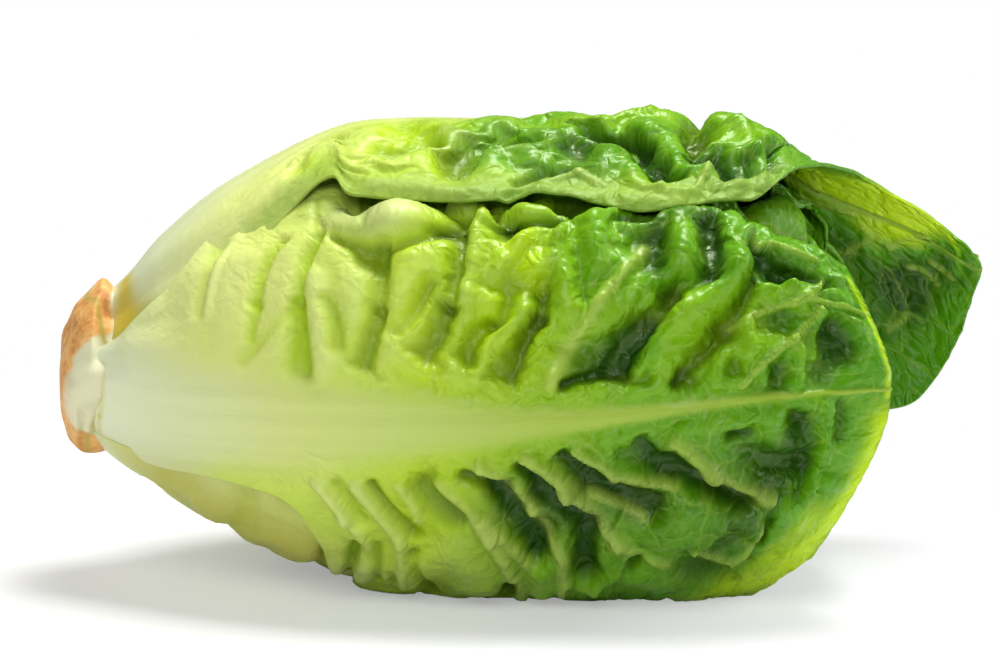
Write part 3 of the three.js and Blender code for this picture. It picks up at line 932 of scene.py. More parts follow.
def grow_leaf(plan, growth):
    """The crinkled leaf, grown in three steps from large folds to small ones."""
    slack = None
    for coarser, rounds, stiff, extra, size, height in GROWTH_STEPS:
        f = leaf_fields(plan, plan["rows"] // coarser + 1, plan["columns"] // coarser + 1)
        g = growth(plan, f)
        off_midrib = np.abs(f["y"])
        folded = f["base"] + f["normal"] * g["folds"][..., None]
        p = folded.copy()
        if slack is not None:
            p += resample(slack, *f["along"].shape)
            near, second, owner = cells(f["x"], f["y"], size, int(5 + size) + plan["index"])
            blister = ramp(0, 0.5, (second - near) / size) * (owner * 2 - 0.8)
            blister = blister * height * ramp(0.35, 0.7, f["along"]) * (0.15 + 0.85 * g["calm"])
            blister = blister * ramp(1, 2, off_midrib / f["rib_half"])
            p += f["normal"] * blister[..., None]
        still = 1 - 0.98 * (1 - ramp(0.6, 1.1, off_midrib / np.maximum(f["rib_half"], 1.2)))
        still *= 1 - 0.97 * (f["along"] < 0.02)
        relax(p, f, g, plan["level"] + FLOOR_GAP, still, 0.3 + 2.5 * g["calm"], extra, rounds, stiff)
        slack = p - folded
    f["folds"] = g["folds"]
    return p, f


def with_veins(plan, p, f):
    """Raises the midrib, veins and quilting, and returns the maps that the colours follow."""
    n = normals(p)
    along, x, y = f["along"], f["x"], f["y"]
    near_half = f["across"] < 0
    rib = np.exp(-((np.abs(y) / (f["rib_half"] * 1.05)) ** 4))
    rib_height = plan["rib_height"] * (1 - 0.6 * along) * ramp(0.0, 0.2, along)
    groove = 0.10 * np.cos(y * 1.5) * ramp(0.05, 0.2, along) * (1 - ramp(0.5, 0.8, along))
    gap = np.minimum(f["between"], 1 - f["between"]) * (f["length"] / VEINS_ALONG)
    vein = np.exp(-((gap / 0.8) ** 2)) * (1 - 0.6 * ramp(0.3, 1, np.abs(f["across"]))) * 0.5
    if plan["veins"]:
        drawn = along_arcs([(1, *arc[1:]) for arc in plan["veins"]], x, y)
        vein = np.maximum(vein * 0.3, np.minimum(drawn, 1))
    vein = vein * (1 - rib)
    near, second, _ = cells(x, y, QUILT_SIZE, 61 + plan["index"])
    quilt = ramp(0, 0.45, (second - near) / QUILT_SIZE) * ramp(0.3, 0.6, along) * (1 - rib)
    moved = p + n * (rib * (rib_height + groove) + vein * 0.15 + quilt * plan["quilt"])[..., None]
    np.maximum(moved[..., 2], FLOOR_GAP, out=moved[..., 2])
    depth = 0.3 * np.einsum("ijk,ijk->ij", p - f["base"], f["normal"]) + 0.7 * f["folds"]
    maps = {
        "along": along,
        "rib": rib,
        "vein": vein,
        # The fold depth, made stronger near the base, sets the painted light on crests and the painted shade
        # in hollows.
        "depth": depth * (1 + 1.6 * (1 - ramp(0.25, 0.5, along))),
        "tone": along_arcs(plan["light_and_tint_strokes"], x, y),
        "ochre": along_arcs(plan["ochre"], x, y),
        "rim": plan["pale_rim"] * (1 - ramp(3, 10, f["edge"])) * near_half * (1 - ramp(0.76, 0.82, along)),
    }
    return moved, maps


# ---------------------------------------------------------------- meshes


def clear_selection():
    if bpy.context.object and bpy.context.object.mode != "OBJECT":
        bpy.ops.object.mode_set(mode="OBJECT")
    bpy.ops.object.select_all(action="DESELECT")


def place_points(mesh, points):
    """Moves a mesh's points to places given in head millimetres."""
    where = (points + [AXIS_START[0], AXIS_START[1], 0]) * MM
    mesh.vertices.foreach_set("co", where.reshape(-1).astype(np.float32))


def add_maps(mesh, maps):
    """Gives each point of a mesh its values from the maps, for the materials to read."""
    for key, values in maps.items():
        layer = mesh.attributes.new(key, "FLOAT", "POINT")
        layer.data.foreach_set("value", values.reshape(-1).astype(np.float32))


def finish_piece(piece, material, replaced):
    """Gives a piece its material, and puts it in the place of its CAD node."""
    piece.location = (0, 0, 0)
    piece.data.materials.append(material)
    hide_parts(replaced)
    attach(piece, "root")


def cut_outer_tip_light(mesh, share):
    """Keeps the painted light at a leaf's tip, the young green of light through the thin leaf, to its inner
    face. The outer face's points come first.
    """
    count = len(mesh.vertices)
    tone, along = np.empty(count), np.empty(count)
    mesh.attributes["tone"].data.foreach_get("value", tone)
    mesh.attributes["along"].data.foreach_get("value", along)
    tone[: count // 2] *= 1 - share * ramp(0.74, 0.8, along[: count // 2])
    mesh.attributes["tone"].data.foreach_set("value", tone)


def leaf_object(name, p, f, maps, thickness):
    """A grid primitive shaped into the leaf, then given its thickness."""
    rows, columns = p.shape[:2]
    clear_selection()
    bpy.ops.mesh.primitive_grid_add(x_subdivisions=columns - 1, y_subdivisions=rows - 1, calc_uvs=True)
    piece = bpy.context.object
    piece.name = name
    mesh = piece.data
    mesh.name = name
    place_points(mesh, p)
    corners = np.empty(len(mesh.loops), np.int32)
    mesh.loops.foreach_get("vertex_index", corners)
    uv = np.stack([f["x"], f["y"]], axis=-1).reshape(-1, 2)[corners] / UV_WIDTH + 0.5
    mesh.uv_layers[0].data.foreach_set("uv", uv.reshape(-1).astype(np.float32))
    add_maps(mesh, maps)
    mesh.flip_normals()
    mesh.update()
    thick = piece.modifiers.new("Thickness", "SOLIDIFY")
    thick.thickness = thickness
    thick.offset = -1
    bpy.ops.object.modifier_apply(modifier=thick.name)
    bpy.ops.object.shade_smooth()
    return piece


def make_leaf(name, plan, growth, thickness, material, replaced):
    """One finished leaf. The growth function sets where it folds and how far it may crinkle."""
    p, f = grow_leaf(plan, growth)
    p, maps = with_veins(plan, p, f)
    piece = leaf_object(name, p, f, maps, thickness)
    cut_outer_tip_light(piece.data, plan["outer_tip_light_cut"])
    finish_piece(piece, material, replaced)


# ---------------------------------------------------------------- materials

BUMP_DISTANCE = 0.0006
LEAF_MAPS = ("along", "rib", "vein", "depth", "tone", "rim", "ochre")


def node(tree, kind, **values):
    """A shader node with its settings and the numbers on its sockets, by name."""
    made = tree.nodes.new(kind)
    for key, value in values.items():
        if hasattr(made, key):
            setattr(made, key, value)
        else:
            made.inputs[key.replace("_", " ")].default_value = value
    return made


def attribute(tree, name):
    return node(tree, "ShaderNodeAttribute", attribute_name=name).outputs["Fac"]


def rgb(colour):
    """A colour property with its alpha, as sockets take it."""
    return (colour[0], colour[1], colour[2], 1.0)


def connect(tree, value, socket):
    """Links a socket to another one, or sets its number or colour."""
    if isinstance(value, bpy.types.NodeSocket):
        tree.links.new(value, socket)
    else:
        socket.default_value = value


def maths(tree, operation, a, b=0.0, c=0.0, clamp=False):
    made = node(tree, "ShaderNodeMath", operation=operation, use_clamp=clamp)
    for socket, value in zip(made.inputs, (a, b, c)):
        connect(tree, value, socket)
    return made.outputs[0]


def times(tree, a, b):
    return maths(tree, "MULTIPLY", a, b)


def strength(tree, value, factor):
    """The value times the factor, kept from 0 to 1."""
    return maths(tree, "MULTIPLY", value, factor, clamp=True)


def scaled_sum(tree, value, factor, added):
    """The value times the factor, plus what is added."""
    return maths(tree, "MULTIPLY_ADD", value, factor, added)


def blend(tree, share, a, b):
    """The colour a, turning to b as share goes from 0 to 1."""
    made = node(tree, "ShaderNodeMix", data_type="RGBA")
    for name, value in (("Factor_Float", share), ("A_Color", a), ("B_Color", b)):
        socket = next(i for i in made.inputs if i.identifier == name)
        connect(tree, value, socket)
    return next(o for o in made.outputs if o.identifier == "Result_Color")


def paint_over(tree, paint, coats):
    """The paint under its coats, each of them a (share, colour)."""
    for share, coat in coats:
        paint = blend(tree, share, paint, coat)
    return paint


def colour_ramp(tree, share, stops):
    """A colour that passes through the stops, each of them a (share, colour)."""
    made = node(tree, "ShaderNodeValToRGB")
    tree.links.new(share, made.inputs["Fac"])
    elements = made.color_ramp.elements
    while len(elements) < len(stops):
        elements.new(0.5)
    for element, (place, shade) in zip(elements, stops):
        element.position = place
        element.color = rgb(shade)
    return made.outputs["Color"]


def map_range(tree, value, start, end, low, high, kind="LINEAR"):
    """A number that goes from low to high as the value goes from start to end."""
    made = node(tree, "ShaderNodeMapRange", interpolation_type=kind)
    for socket, number in zip(made.inputs, (value, start, end, low, high)):
        connect(tree, number, socket)
    return made.outputs["Result"]


def noise(tree, vector, scale, detail, roughness=0.5):
    made = node(tree, "ShaderNodeTexNoise", Scale=scale, Detail=detail, Roughness=roughness)
    tree.links.new(vector, made.inputs["Vector"])
    return made


def cell_edges(tree, vector, scale):
    """The distance to the edges of scattered cells."""
    made = node(tree, "ShaderNodeTexVoronoi", feature="DISTANCE_TO_EDGE", Scale=scale)
    tree.links.new(vector, made.inputs["Vector"])
    return made.outputs["Distance"]


def add_bump(tree, shader, height, amount):
    """Turns a height into bump on the shader."""
    bump = node(tree, "ShaderNodeBump", Strength=amount, Distance=BUMP_DISTANCE)
    tree.links.new(height, bump.inputs["Height"])
    tree.links.new(bump.outputs["Normal"], shader.inputs["Normal"])


def new_material(name):
    material = bpy.data.materials.new(name)
    material.use_nodes = True
    tree = material.node_tree
    tree.nodes.clear()
    shader = node(tree, "ShaderNodeBsdfPrincipled")
    output = node(tree, "ShaderNodeOutputMaterial")
    tree.links.new(shader.outputs["BSDF"], output.inputs["Surface"])
    return material, tree, shader


def vein_nets(tree, uv):
    """The edges of a broad and of a fine net of cells on the flat leaf, slightly pushed about."""
    wobble = noise(tree, uv, 30.0, 2.0)
    pushed = node(tree, "ShaderNodeVectorMath", operation="MULTIPLY_ADD")
    for socket, value in zip(pushed.inputs, (wobble.outputs["Color"], (0.03, 0.03, 0.0), uv)):
        connect(tree, value, socket)
    return [cell_edges(tree, pushed.outputs[0], scale) for scale in (26.0, 78.0)]


def leaf_paint(tree, colours, uv, nets, maps, paleness, places):
    """The leaf's colour: shades along its length, painted light on crests and painted shade in hollows, the
    painted light and shade of the strokes, veins, the midrib and the rim.
    """
    along, depth, tone = maps["along"], maps["depth"], maps["tone"]
    mottle = noise(tree, uv, 9.0, 3.0)
    place = maths(tree, "ADD", along, scaled_sum(tree, mottle.outputs["Fac"], 0.16, -0.08 - paleness))
    shades = (colours.base, colours.pale, colours.middle, colours.green, colours.deep)
    blade = colour_ramp(tree, place, list(zip(places, shades)))

    # Painted light and shade from the fold depth: a paler green painted on fold crests near the base, and a
    # near-black green painted into the hollows, where the fine net fades too.
    crest_light = strength(tree, depth, map_range(tree, along, 0.3, 0.6, 0.22, 0.0))
    hollow_shade = strength(tree, depth, -0.4)
    hollow_shade_colour = colour_ramp(tree, along, [(0.25, colours.middle), (0.55, colours.hollow_shade)])
    blade = paint_over(tree, blade, [
        (crest_light, rgb(colours.crest_light)),
        (hollow_shade, hollow_shade_colour),
        # The strokes' painted light turns to young green, and their painted shade to the hollows' green.
        (strength(tree, tone, 1.0), rgb(colours.sunlit)),
        (strength(tree, tone, -1.15), rgb(colours.hollow_shade)),
    ])

    line, fine_line = (map_range(tree, net, 0.0, width, 1.0, 0.0) for net, width in zip(nets, (0.035, 0.11)))
    netted = scaled_sum(tree, fine_line, 0.4, line)
    netted = times(tree, netted, times(tree, maths(tree, "SUBTRACT", 1.0, maps["rib"]), along))
    netted = times(tree, netted, scaled_sum(tree, hollow_shade, -0.9, 1.0))
    vein_colour = blend(tree, along, rgb(colours.pale), rgb(colours.vein))
    rib_colour = colour_ramp(tree, along, [
        (0.0, colours.rib_base), (0.3, colours.rib_pale), (0.6, colours.rib_green), (0.9, colours.vein),
    ])
    return paint_over(tree, blade, [
        (strength(tree, netted, 0.32), vein_colour),
        (strength(tree, maps["vein"], 0.6), vein_colour),
        (maps["rib"], rib_colour),
        (maps["rim"], rgb(colours.rim)),
        (maps["ochre"], rgb(colours.ochre)),
    ])


def leaf_relief(tree, uv, nets, maps, grain):
    """Long fibres on the rib, and on the blade grain, ripples and puffs between the veins of the net."""
    stretched = node(tree, "ShaderNodeMapping", Scale=(14.0, 260.0, 1.0))
    tree.links.new(uv, stretched.inputs["Vector"])
    fibres = noise(tree, stretched.outputs["Vector"], 1.0, 2.0)
    ripple = noise(tree, uv, 42.0, 2.0)
    puffs, fine_puffs = (
        map_range(tree, net, 0.0, width, 0.0, 1.0, "SMOOTHSTEP") for net, width in zip(nets, (0.3, 0.35))
    )
    relief = scaled_sum(tree, fine_puffs, 0.6, puffs)
    relief = times(tree, relief, map_range(tree, maps["along"], 0.15, 0.6, 0.1, 0.85))
    relief = scaled_sum(tree, grain, 0.3, relief)
    relief = scaled_sum(tree, ripple.outputs["Fac"], 0.5, relief)
    relief = times(tree, relief, maths(tree, "SUBTRACT", 1.0, maps["rib"]))
    return scaled_sum(tree, times(tree, fibres.outputs["Fac"], maps["rib"]), 0.2, relief)


def leaf_material(name, colours, paleness, places=(0, 0.2, 0.42, 0.68, 1)):
    """Leaf skin with a waxy gloss. Paleness moves its five shades, which lie at places, towards the tip."""
    material, tree, shader = new_material(name)
    uv = node(tree, "ShaderNodeUVMap", uv_map="UVMap").outputs["UV"]
    maps = {key: attribute(tree, key) for key in LEAF_MAPS}
    nets = vein_nets(tree, uv)
    grain = noise(tree, uv, 160.0, 4.0).outputs["Fac"]
    tree.links.new(leaf_paint(tree, colours, uv, nets, maps, paleness, places), shader.inputs["Base Color"])
    add_bump(tree, shader, leaf_relief(tree, uv, nets, maps, grain), 0.7)

    # The grain makes the gloss uneven, and the base and the folded rim are duller.
    roughness = map_range(tree, grain, 0.3, 0.7, 0.28, 0.42)
    roughness = maths(tree, "ADD", roughness, map_range(tree, maps["along"], 0.2, 0.55, 0.16, 0.0))
    roughness = scaled_sum(tree, maps["rim"], 0.25, roughness)
    tree.links.new(roughness, shader.inputs["Roughness"])
    shader.inputs["Specular IOR Level"].default_value = 0.36
    shader.inputs["Specular Tint"].default_value = rgb(colours.gloss)
    return material


def stem_material(name, colours):
    """Stem flesh: pale, with rust where the air has reached it, and darker lines where leaves broke away."""
    material, tree, shader = new_material(name)
    where = node(tree, "ShaderNodeTexCoord").outputs["Object"]
    mottle = noise(tree, where, 260.0, 5.0, 0.65).outputs["Fac"]
    broad = noise(tree, where, 110.0, 2.0).outputs["Fac"]
    rust = attribute(tree, "rust")
    uneven = times(tree, scaled_sum(tree, mottle, 0.7, -0.35), rust)
    rusty = maths(tree, "ADD", rust, uneven, clamp=True)
    rust_colour = colour_ramp(tree, mottle, [
        (0.38, colours.rust_dark), (0.48, colours.rust), (0.62, colours.rust_light),
    ])
    flesh = blend(tree, broad, rgb(colours.flesh), rgb(colours.flesh_green))
    scar = strength(tree, attribute(tree, "scar"), 0.8)
    paint = paint_over(tree, flesh, [(rusty, rust_colour), (scar, rgb(colours.scar))])
    tree.links.new(paint, shader.inputs["Base Color"])
    add_bump(tree, shader, maths(tree, "ADD", mottle, times(tree, broad, 1.5)), 0.5)
    tree.links.new(map_range(tree, rusty, 0.0, 1.0, 0.4, 0.62), shader.inputs["Roughness"])
    shader.inputs["Specular IOR Level"].default_value = 0.3
    return material


# ---------------------------------------------------------------- the stem


def stem_surface(ball, widest):
    """The stem's points with their rust and scars, from the points of a ball of radius 1."""
    share = np.arccos(np.clip(-ball[:, 2], -1, 1)) / np.pi
    turn = np.arctan2(ball[:, 1], ball[:, 0])
    place = smooth_curve(STEM_PROFILE, share)
    x, radius = place[:, 0], place[:, 1] * widest / STEM_WIDEST
    up = np.sin(turn)
    ragged = soft_noise(turn * STEM_WIDEST, x, 5.0, 3) + 0.6 * soft_noise(turn * STEM_WIDEST, x, 2.2, 4)
    rim = ramp(7, 12, radius) * (1 - ramp(12, 16, x))
    radius = radius * (1 + 0.035 * ragged * rim)
    # A low lump at the sides, and the hollows below and above it where leaves were pulled away.
    lump = 0.3 * ramp(-0.1, 0.1, up) * (1 - ramp(0.15, 0.3, up)) * ramp(3, 8, x) * (1 - ramp(11, 16, x))
    below = 1.8 * ramp(0.1, 0.45, -up) * (1 - ramp(0.75, 0.95, -up))
    below = below * ramp(3.2, 5.2, x) * (1 - ramp(14, 20, x))
    above = 4.2 * ramp(0.1, 0.5, up) * (1 - 0.5 * ramp(0.85, 0.97, up))
    above = above * ramp(5.5, 8.5, x) * (1 - ramp(14, 20, x))
    radius = radius + lump - below - above
    # The cut is uneven, and the knife went through off square.
    x = x + 0.7 * soft_noise(ball[:, 0] * radius, ball[:, 1] * radius, 4.5, 8) * (1 - ramp(6, 12, x)) + 0.3
    x += 1.4 * ramp(4, 11, radius) * ramp(0.2, 0.9, up) * (1 - ramp(8, 14, x))
    x = np.maximum(x, 0.0)
    sunk = 1.7 * (1 - ramp(3, 12, x))
    points = np.stack([x, -radius * np.cos(turn), AXIS_HEIGHT - sunk + radius * up], axis=-1)
    rust_reach = 2.6 + 7.6 * ramp(0.38, 0.72, up) + 6.5 * ramp(0.5, 0.9, -up)
    rust = 1 - ramp(-0.7, 0.7, x + 0.7 * ragged - rust_reach)
    rust = np.maximum(rust * ramp(4, 8, radius), 0.45 * (1 - ramp(1, 4, x)))
    scar = np.exp(-(((x - 7.6 - 2.2 * np.sin(2.3 * turn + 0.9) - 0.8 * ragged) / 0.5) ** 2))
    return points, {"rust": rust, "scar": scar}


def make_stem(sizes, material):
    """A sphere primitive shaped into the cut end, its ragged rim and the core that the leaves grow from."""
    clear_selection()
    bpy.ops.mesh.primitive_uv_sphere_add(segments=144, ring_count=96, radius=1)
    piece = bpy.context.object
    piece.name = "stem_core"
    mesh = piece.data
    mesh.name = "stem_core"
    ball = np.empty(len(mesh.vertices) * 3)
    mesh.vertices.foreach_get("co", ball)
    points, maps = stem_surface(ball.reshape(-1, 3), sizes.stem_radius / MM)
    place_points(mesh, points)
    add_maps(mesh, maps)
    bpy.ops.object.mode_set(mode="EDIT")
    bpy.ops.mesh.select_all(action="SELECT")
    bpy.ops.mesh.normals_make_consistent(inside=False)
    bpy.ops.object.mode_set(mode="OBJECT")
    bpy.ops.object.shade_smooth()
    finish_piece(piece, material, "stem")


# ---------------------------------------------------------------- the stage


def mix_shaders(tree, share, a, b, output):
    """Sends the shader a, turning to b as share goes from 0 to 1, to the output."""
    both = node(tree, "ShaderNodeMixShader")
    for socket, value in zip(both.inputs, (share, a.outputs[0], b.outputs[0])):
        tree.links.new(value, socket)
    tree.links.new(both.outputs[0], output.inputs["Surface"])


def make_floor(look):
    """A pale matt floor that keeps the head's shadow and, to the camera, turns to white further out."""
    clear_selection()
    bpy.ops.mesh.primitive_plane_add(size=FLOOR_WIDTH)
    floor = bpy.context.object
    floor.name = "floor"
    material = bpy.data.materials.new("studio floor")
    material.use_nodes = True
    tree = material.node_tree
    tree.nodes.clear()
    where = node(tree, "ShaderNodeTexCoord").outputs["Object"]
    reach = node(tree, "ShaderNodeVectorMath", operation="DISTANCE")
    connect(tree, where, reach.inputs[0])
    connect(tree, FADE_CENTRE, reach.inputs[1])
    fade = map_range(tree, reach.outputs["Value"], FADE_START, FADE_END, look.floor_whiteness, 1.0)
    matt = node(tree, "ShaderNodeBsdfDiffuse", Color=rgb(look.floor))
    white = node(tree, "ShaderNodeEmission", Color=WHITE, Strength=1.0)
    seen = node(tree, "ShaderNodeLightPath").outputs["Is Camera Ray"]
    mix_shaders(tree, times(tree, seen, fade), matt, white, node(tree, "ShaderNodeOutputMaterial"))
    floor.data.materials.append(material)


def make_world(look):
    """Even light from all round, with a white background where the camera sees it."""
    world = bpy.data.worlds.new("studio")
    bpy.context.scene.world = world
    world.use_nodes = True
    tree = world.node_tree
    tree.nodes.clear()
    glow = node(tree, "ShaderNodeBackground", Color=WHITE, Strength=look.ambient)
    backdrop = node(tree, "ShaderNodeBackground", Color=WHITE, Strength=1.0)
    seen = node(tree, "ShaderNodeLightPath").outputs["Is Camera Ray"]
    mix_shaders(tree, seen, glow, backdrop, node(tree, "ShaderNodeOutputWorld"))


def aimed_at(target, place):
    """The turn of a lamp or camera that stands at a place and looks at the target."""
    return (target - place).to_track_quat("-Z", "Y").to_euler()


def make_lamps(look):
    for name, (place, width, power) in LAMPS.items():
        bpy.ops.object.light_add(type="AREA", location=place)
        lamp = bpy.context.object
        lamp.name = name
        lamp.data.size = width
        lamp.data.energy = getattr(look, power)
        lamp.rotation_euler = aimed_at(LAMP_AIM, lamp.location)


def make_camera(look):
    """The camera in front, looking down a little."""
    clear_selection()
    tilt = math.radians(look.camera_tilt)
    back = Vector((0, -CAMERA_DISTANCE * math.cos(tilt), CAMERA_DISTANCE * math.sin(tilt)))
    bpy.ops.object.camera_add(location=CAMERA_AIM + back)
    camera = bpy.context.object
    camera.rotation_euler = aimed_at(CAMERA_AIM, camera.location)
    camera.data.sensor_width = SENSOR_WIDTH
    camera.data.lens = SENSOR_WIDTH * CAMERA_DISTANCE / VIEW_WIDTH
    bpy.context.scene.camera = camera
    bpy.context.scene.view_settings.view_transform = "Standard"


# ---------------------------------------------------------------- sizes and colours


def size_property(name, description, value, low, high):
    return FloatProperty(
        name=name, description=description, default=value, min=low, max=high, unit="LENGTH", precision=4,
    )


def colour_property(name, description, value):
    return FloatVectorProperty(
        name=name, description=description, default=value, size=3, subtype="COLOR", min=0, max=1,
    )


def number_property(name, description, value, high, **unit):
    return FloatProperty(name=name, description=description, default=value, min=0, max=high, **unit)


class LettuceSizes(bpy.types.PropertyGroup):
    """Sizes of the head's pieces"""

    leaf_thickness: size_property(
        "Leaf thickness", "Thickness of an outer leaf", 0.0006, 0.0003, 0.0012,
    )
    inner_thickness: size_property(
        "Inner leaf thickness", "Thickness of an inner leaf", 0.0005, 0.0003, 0.001,
    )
    stem_radius: size_property("Stem radius", "Radius of the cut end at its widest", 0.0150, 0.012, 0.018)
    detail: IntProperty(
        name="Outer leaf detail", description="Mesh steps along the front and top leaves", default=232,
        min=60, max=232,
    )


class LettuceColours(bpy.types.PropertyGroup):
    """Colours of the leaves and the stem"""

    base: colour_property("Leaf base", "Where a leaf leaves the stem", (0.61, 0.65, 0.41))
    pale: colour_property("Pale blade", "The blade near its base", (0.62, 0.69, 0.19))
    middle: colour_property("Middle blade", "The blade half way along", (0.40, 0.57, 0.012))
    green: colour_property("Green blade", "The blade towards the tip", (0.12, 0.33, 0.002))
    deep: colour_property("Tip green", "The blade at its tip", (0.065, 0.26, 0.001))
    gloss: colour_property("Gloss", "The tint of the waxy gloss", (0.92, 1.0, 0.75))
    rim: colour_property("Pale rim", "The folded rim of the top leaf", (0.22, 0.34, 0.045))
    # Painted light: the paler green painted on the crests of folds near the base.
    crest_light: colour_property("Fold crests", "The crests of the folds near the base", (0.68, 0.72, 0.34))
    # Painted shade: the dark green painted into pockets and creases, and where the painted light strokes fall
    # below 0.
    hollow_shade: colour_property("Hollows", "The bottoms of the pockets", (0.012, 0.06, 0.001))
    # Young green is mostly painted light, where light passes through thin tissue or falls on lit folds, and
    # partly the paler green of young edges.
    sunlit: colour_property("Young green", "Young and thin tissue near the edges", (0.50, 0.72, 0.002))
    rib_base: colour_property("Rib base", "The midrib where it leaves the stem", (0.69, 0.73, 0.54))
    rib_pale: colour_property("Pale rib", "The midrib a third of the way along", (0.55, 0.62, 0.20))
    rib_green: colour_property("Green rib", "The midrib two thirds of the way along", (0.33, 0.46, 0.055))
    vein: colour_property("Veins", "Side veins towards the tip", (0.25, 0.40, 0.03))
    # Ochre is painted on patches of the outer leaves beside the stem and on the front leaf's base edge.
    ochre: colour_property("Ochre", "Rubbed patches of the outer leaves beside the stem", (0.55, 0.45, 0.055))
    flesh: colour_property("Stem flesh", "The cut end's pale flesh", (0.73, 0.65, 0.44))
    flesh_green: colour_property("Green flesh", "Greener parts of the stem", (0.64, 0.67, 0.42))
    rust: colour_property("Rust", "Flesh that the air has turned", (0.72, 0.35, 0.09))
    rust_light: colour_property("Light rust", "Flesh that has just turned", (0.80, 0.50, 0.20))
    rust_dark: colour_property("Dark rust", "The driest edge of the cut", (0.52, 0.19, 0.04))
    scar: colour_property("Scars", "Lines where leaves broke away", (0.42, 0.34, 0.06))


class LettuceStage(bpy.types.PropertyGroup):
    """The floor, the light and the camera"""

    floor: colour_property("Floor", "The floor's colour", (0.86, 0.86, 0.86))
    floor_whiteness: number_property("Floor whiteness", "How white the floor looks under the head", 0.35, 1)
    ambient: number_property("Ambient light", "Strength of the even light from all round", 0.13, 2)
    top_power: number_property("Top lamp", "Power of the lamp above and behind", 10.9, 100, unit="POWER")
    front_power: number_property("Front lamp", "Power of the lamp in front", 6.1, 100, unit="POWER")
    side_power: number_property("Side lamp", "Power of the lamp at the tips' side", 2.0, 100, unit="POWER")
    camera_tilt: number_property("Camera tilt", "How far the camera looks down, in degrees", 12.0, 60)


# ---------------------------------------------------------------- operators


class LETTUCE_OT_stem(bpy.types.Operator):
    """Add the stem with its cut end"""

    bl_idname = "lettuce.stem"
    bl_label = "Stem"
    bl_options = {"REGISTER", "UNDO"}

    def execute(self, context):
        scene = context.scene
        make_stem(scene.lettuce_sizes, stem_material("stem flesh", scene.lettuce_colours))
        return {"FINISHED"}


class LETTUCE_OT_front_leaf(bpy.types.Operator):
    """Add the outer leaf that faces the front"""

    bl_idname = "lettuce.front_leaf"
    bl_label = "Front leaf"
    bl_options = {"REGISTER", "UNDO"}

    def execute(self, context):
        sizes, colours = context.scene.lettuce_sizes, context.scene.lettuce_colours
        plan, thickness = front_plan(sizes.detail), sizes.leaf_thickness
        skin = leaf_material("front leaf skin", colours, 0.0, (0, 0.22, 0.44, 0.66, 1))
        make_leaf("front_leaf", plan, front_growth, thickness, skin, "front_wrapper_leaf")
        return {"FINISHED"}


class LETTUCE_OT_top_leaf(bpy.types.Operator):
    """Add the outermost leaf, which lies over the top"""

    bl_idname = "lettuce.top_leaf"
    bl_label = "Top leaf"
    bl_options = {"REGISTER", "UNDO"}

    def execute(self, context):
        sizes, colours = context.scene.lettuce_sizes, context.scene.lettuce_colours
        plan, thickness = top_plan(sizes.detail), sizes.leaf_thickness
        skin = leaf_material("top leaf skin", colours, 0.0, (0, 0.22, 0.37, 0.48, 0.9))
        make_leaf("top_leaf", plan, top_growth, thickness, skin, "top_wrapper_leaf")
        return {"FINISHED"}


class LETTUCE_OT_wrapped_leaves(bpy.types.Operator):
    """Add the two outer leaves under and behind the head"""

    bl_idname = "lettuce.wrapped_leaves"
    bl_label = "Under and back leaves"
    bl_options = {"REGISTER", "UNDO"}

    def execute(self, context):
        thickness = context.scene.lettuce_sizes.leaf_thickness
        skin = leaf_material("wrapped leaf skin", context.scene.lettuce_colours, 0.06)
        leaves = (("under", under_plan(), under_growth), ("back", back_plan(), common_growth))
        for name, plan, growth in leaves:
            make_leaf(name + "_leaf", plan, growth, thickness, skin, name + "_wrapper_leaf")
        return {"FINISHED"}


def make_inner_leaves(context, kind, indices, paleness, **steps):
    """Middle or heart leaves, numbered from 1 inwards, in one skin."""
    thickness = context.scene.lettuce_sizes.inner_thickness
    skin = leaf_material(kind + " leaf skin", context.scene.lettuce_colours, paleness)
    for number, index in enumerate(indices, 1):
        name = f"{kind}_leaf_{number:02d}"
        plan = {**leaf_plan(index), **steps}
        make_leaf(name + "_blade", plan, common_growth, thickness, skin, name)


class LETTUCE_OT_middle_leaves(bpy.types.Operator):
    """Add the ten middle leaves"""

    bl_idname = "lettuce.middle_leaves"
    bl_label = "Middle leaves"
    bl_options = {"REGISTER", "UNDO"}

    def execute(self, context):
        make_inner_leaves(context, "middle", range(FIRST_MIDDLE_LEAF, FIRST_HEART_LEAF), 0.16)
        return {"FINISHED"}


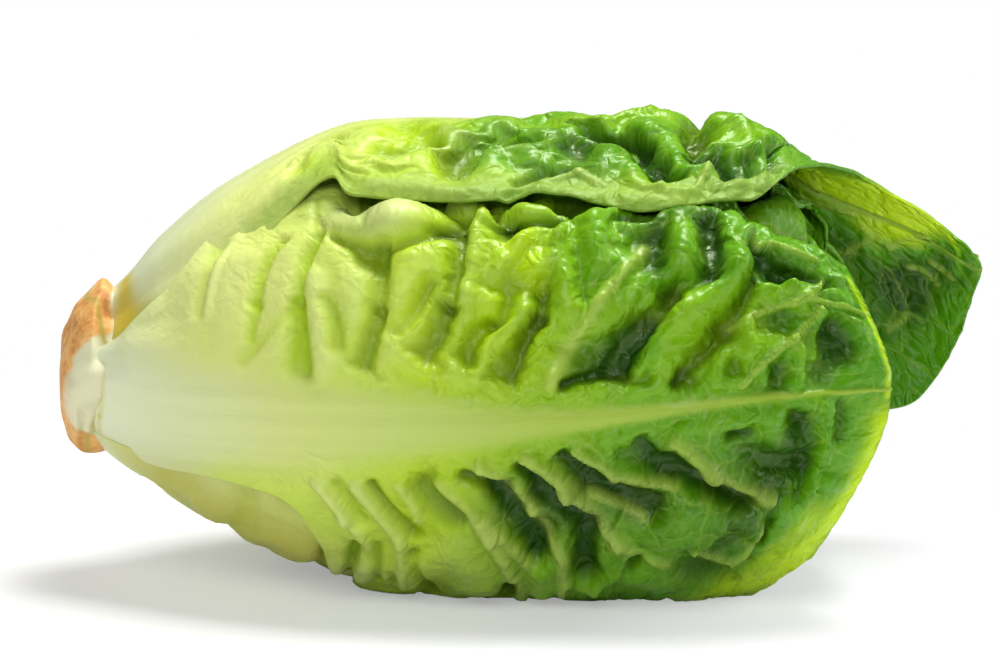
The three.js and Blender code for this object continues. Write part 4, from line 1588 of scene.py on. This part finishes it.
class LETTUCE_OT_heart_leaves(bpy.types.Operator):
    """Add the six heart leaves"""

    bl_idname = "lettuce.heart_leaves"
    bl_label = "Heart leaves"
    bl_options = {"REGISTER", "UNDO"}

    def execute(self, context):
        make_inner_leaves(context, "heart", range(FIRST_HEART_LEAF, LEAF_COUNT), 0.3, rows=64, columns=56)
        return {"FINISHED"}


class LETTUCE_OT_stage(bpy.types.Operator):
    """Add the floor, the lamps, the world and the camera"""

    bl_idname = "lettuce.stage"
    bl_label = "Stage"
    bl_options = {"REGISTER", "UNDO"}

    def execute(self, context):
        look = context.scene.lettuce_stage
        make_floor(look)
        make_world(look)
        make_lamps(look)
        make_camera(look)
        return {"FINISHED"}


class LETTUCE_PT_panel(bpy.types.Panel):
    """Lists the lettuce's pieces, sizes and colours"""

    bl_idname = "LETTUCE_PT_panel"
    bl_label = "Little gem lettuce"
    bl_space_type = "VIEW_3D"
    bl_region_type = "UI"
    bl_category = "Lettuce"

    def draw(self, context):
        layout = self.layout
        for operator in OPERATORS:
            layout.operator(operator.bl_idname)
        for key in GROUPS:
            group = getattr(context.scene, key)
            box = layout.box()
            for name in group.__annotations__:
                box.prop(group, name)


GROUPS = {"lettuce_sizes": LettuceSizes, "lettuce_colours": LettuceColours, "lettuce_stage": LettuceStage}
OPERATORS = [
    LETTUCE_OT_stem, LETTUCE_OT_front_leaf, LETTUCE_OT_top_leaf, LETTUCE_OT_wrapped_leaves,
    LETTUCE_OT_middle_leaves, LETTUCE_OT_heart_leaves, LETTUCE_OT_stage,
]


def register():
    for made in [*GROUPS.values(), *OPERATORS, LETTUCE_PT_panel]:
        bpy.utils.register_class(made)
    for name, group in GROUPS.items():
        setattr(bpy.types.Scene, name, PointerProperty(type=group))


def unregister():
    for name in GROUPS:
        delattr(bpy.types.Scene, name)
    for made in reversed([*GROUPS.values(), *OPERATORS, LETTUCE_PT_panel]):
        bpy.utils.unregister_class(made)


def main():
    register()
    bpy.ops.lettuce.stem()
    bpy.ops.lettuce.front_leaf()
    bpy.ops.lettuce.top_leaf()
    bpy.ops.lettuce.wrapped_leaves()
    bpy.ops.lettuce.middle_leaves()
    bpy.ops.lettuce.heart_leaves()
    bpy.ops.lettuce.stage()


if __name__ == "__main__":
    main()
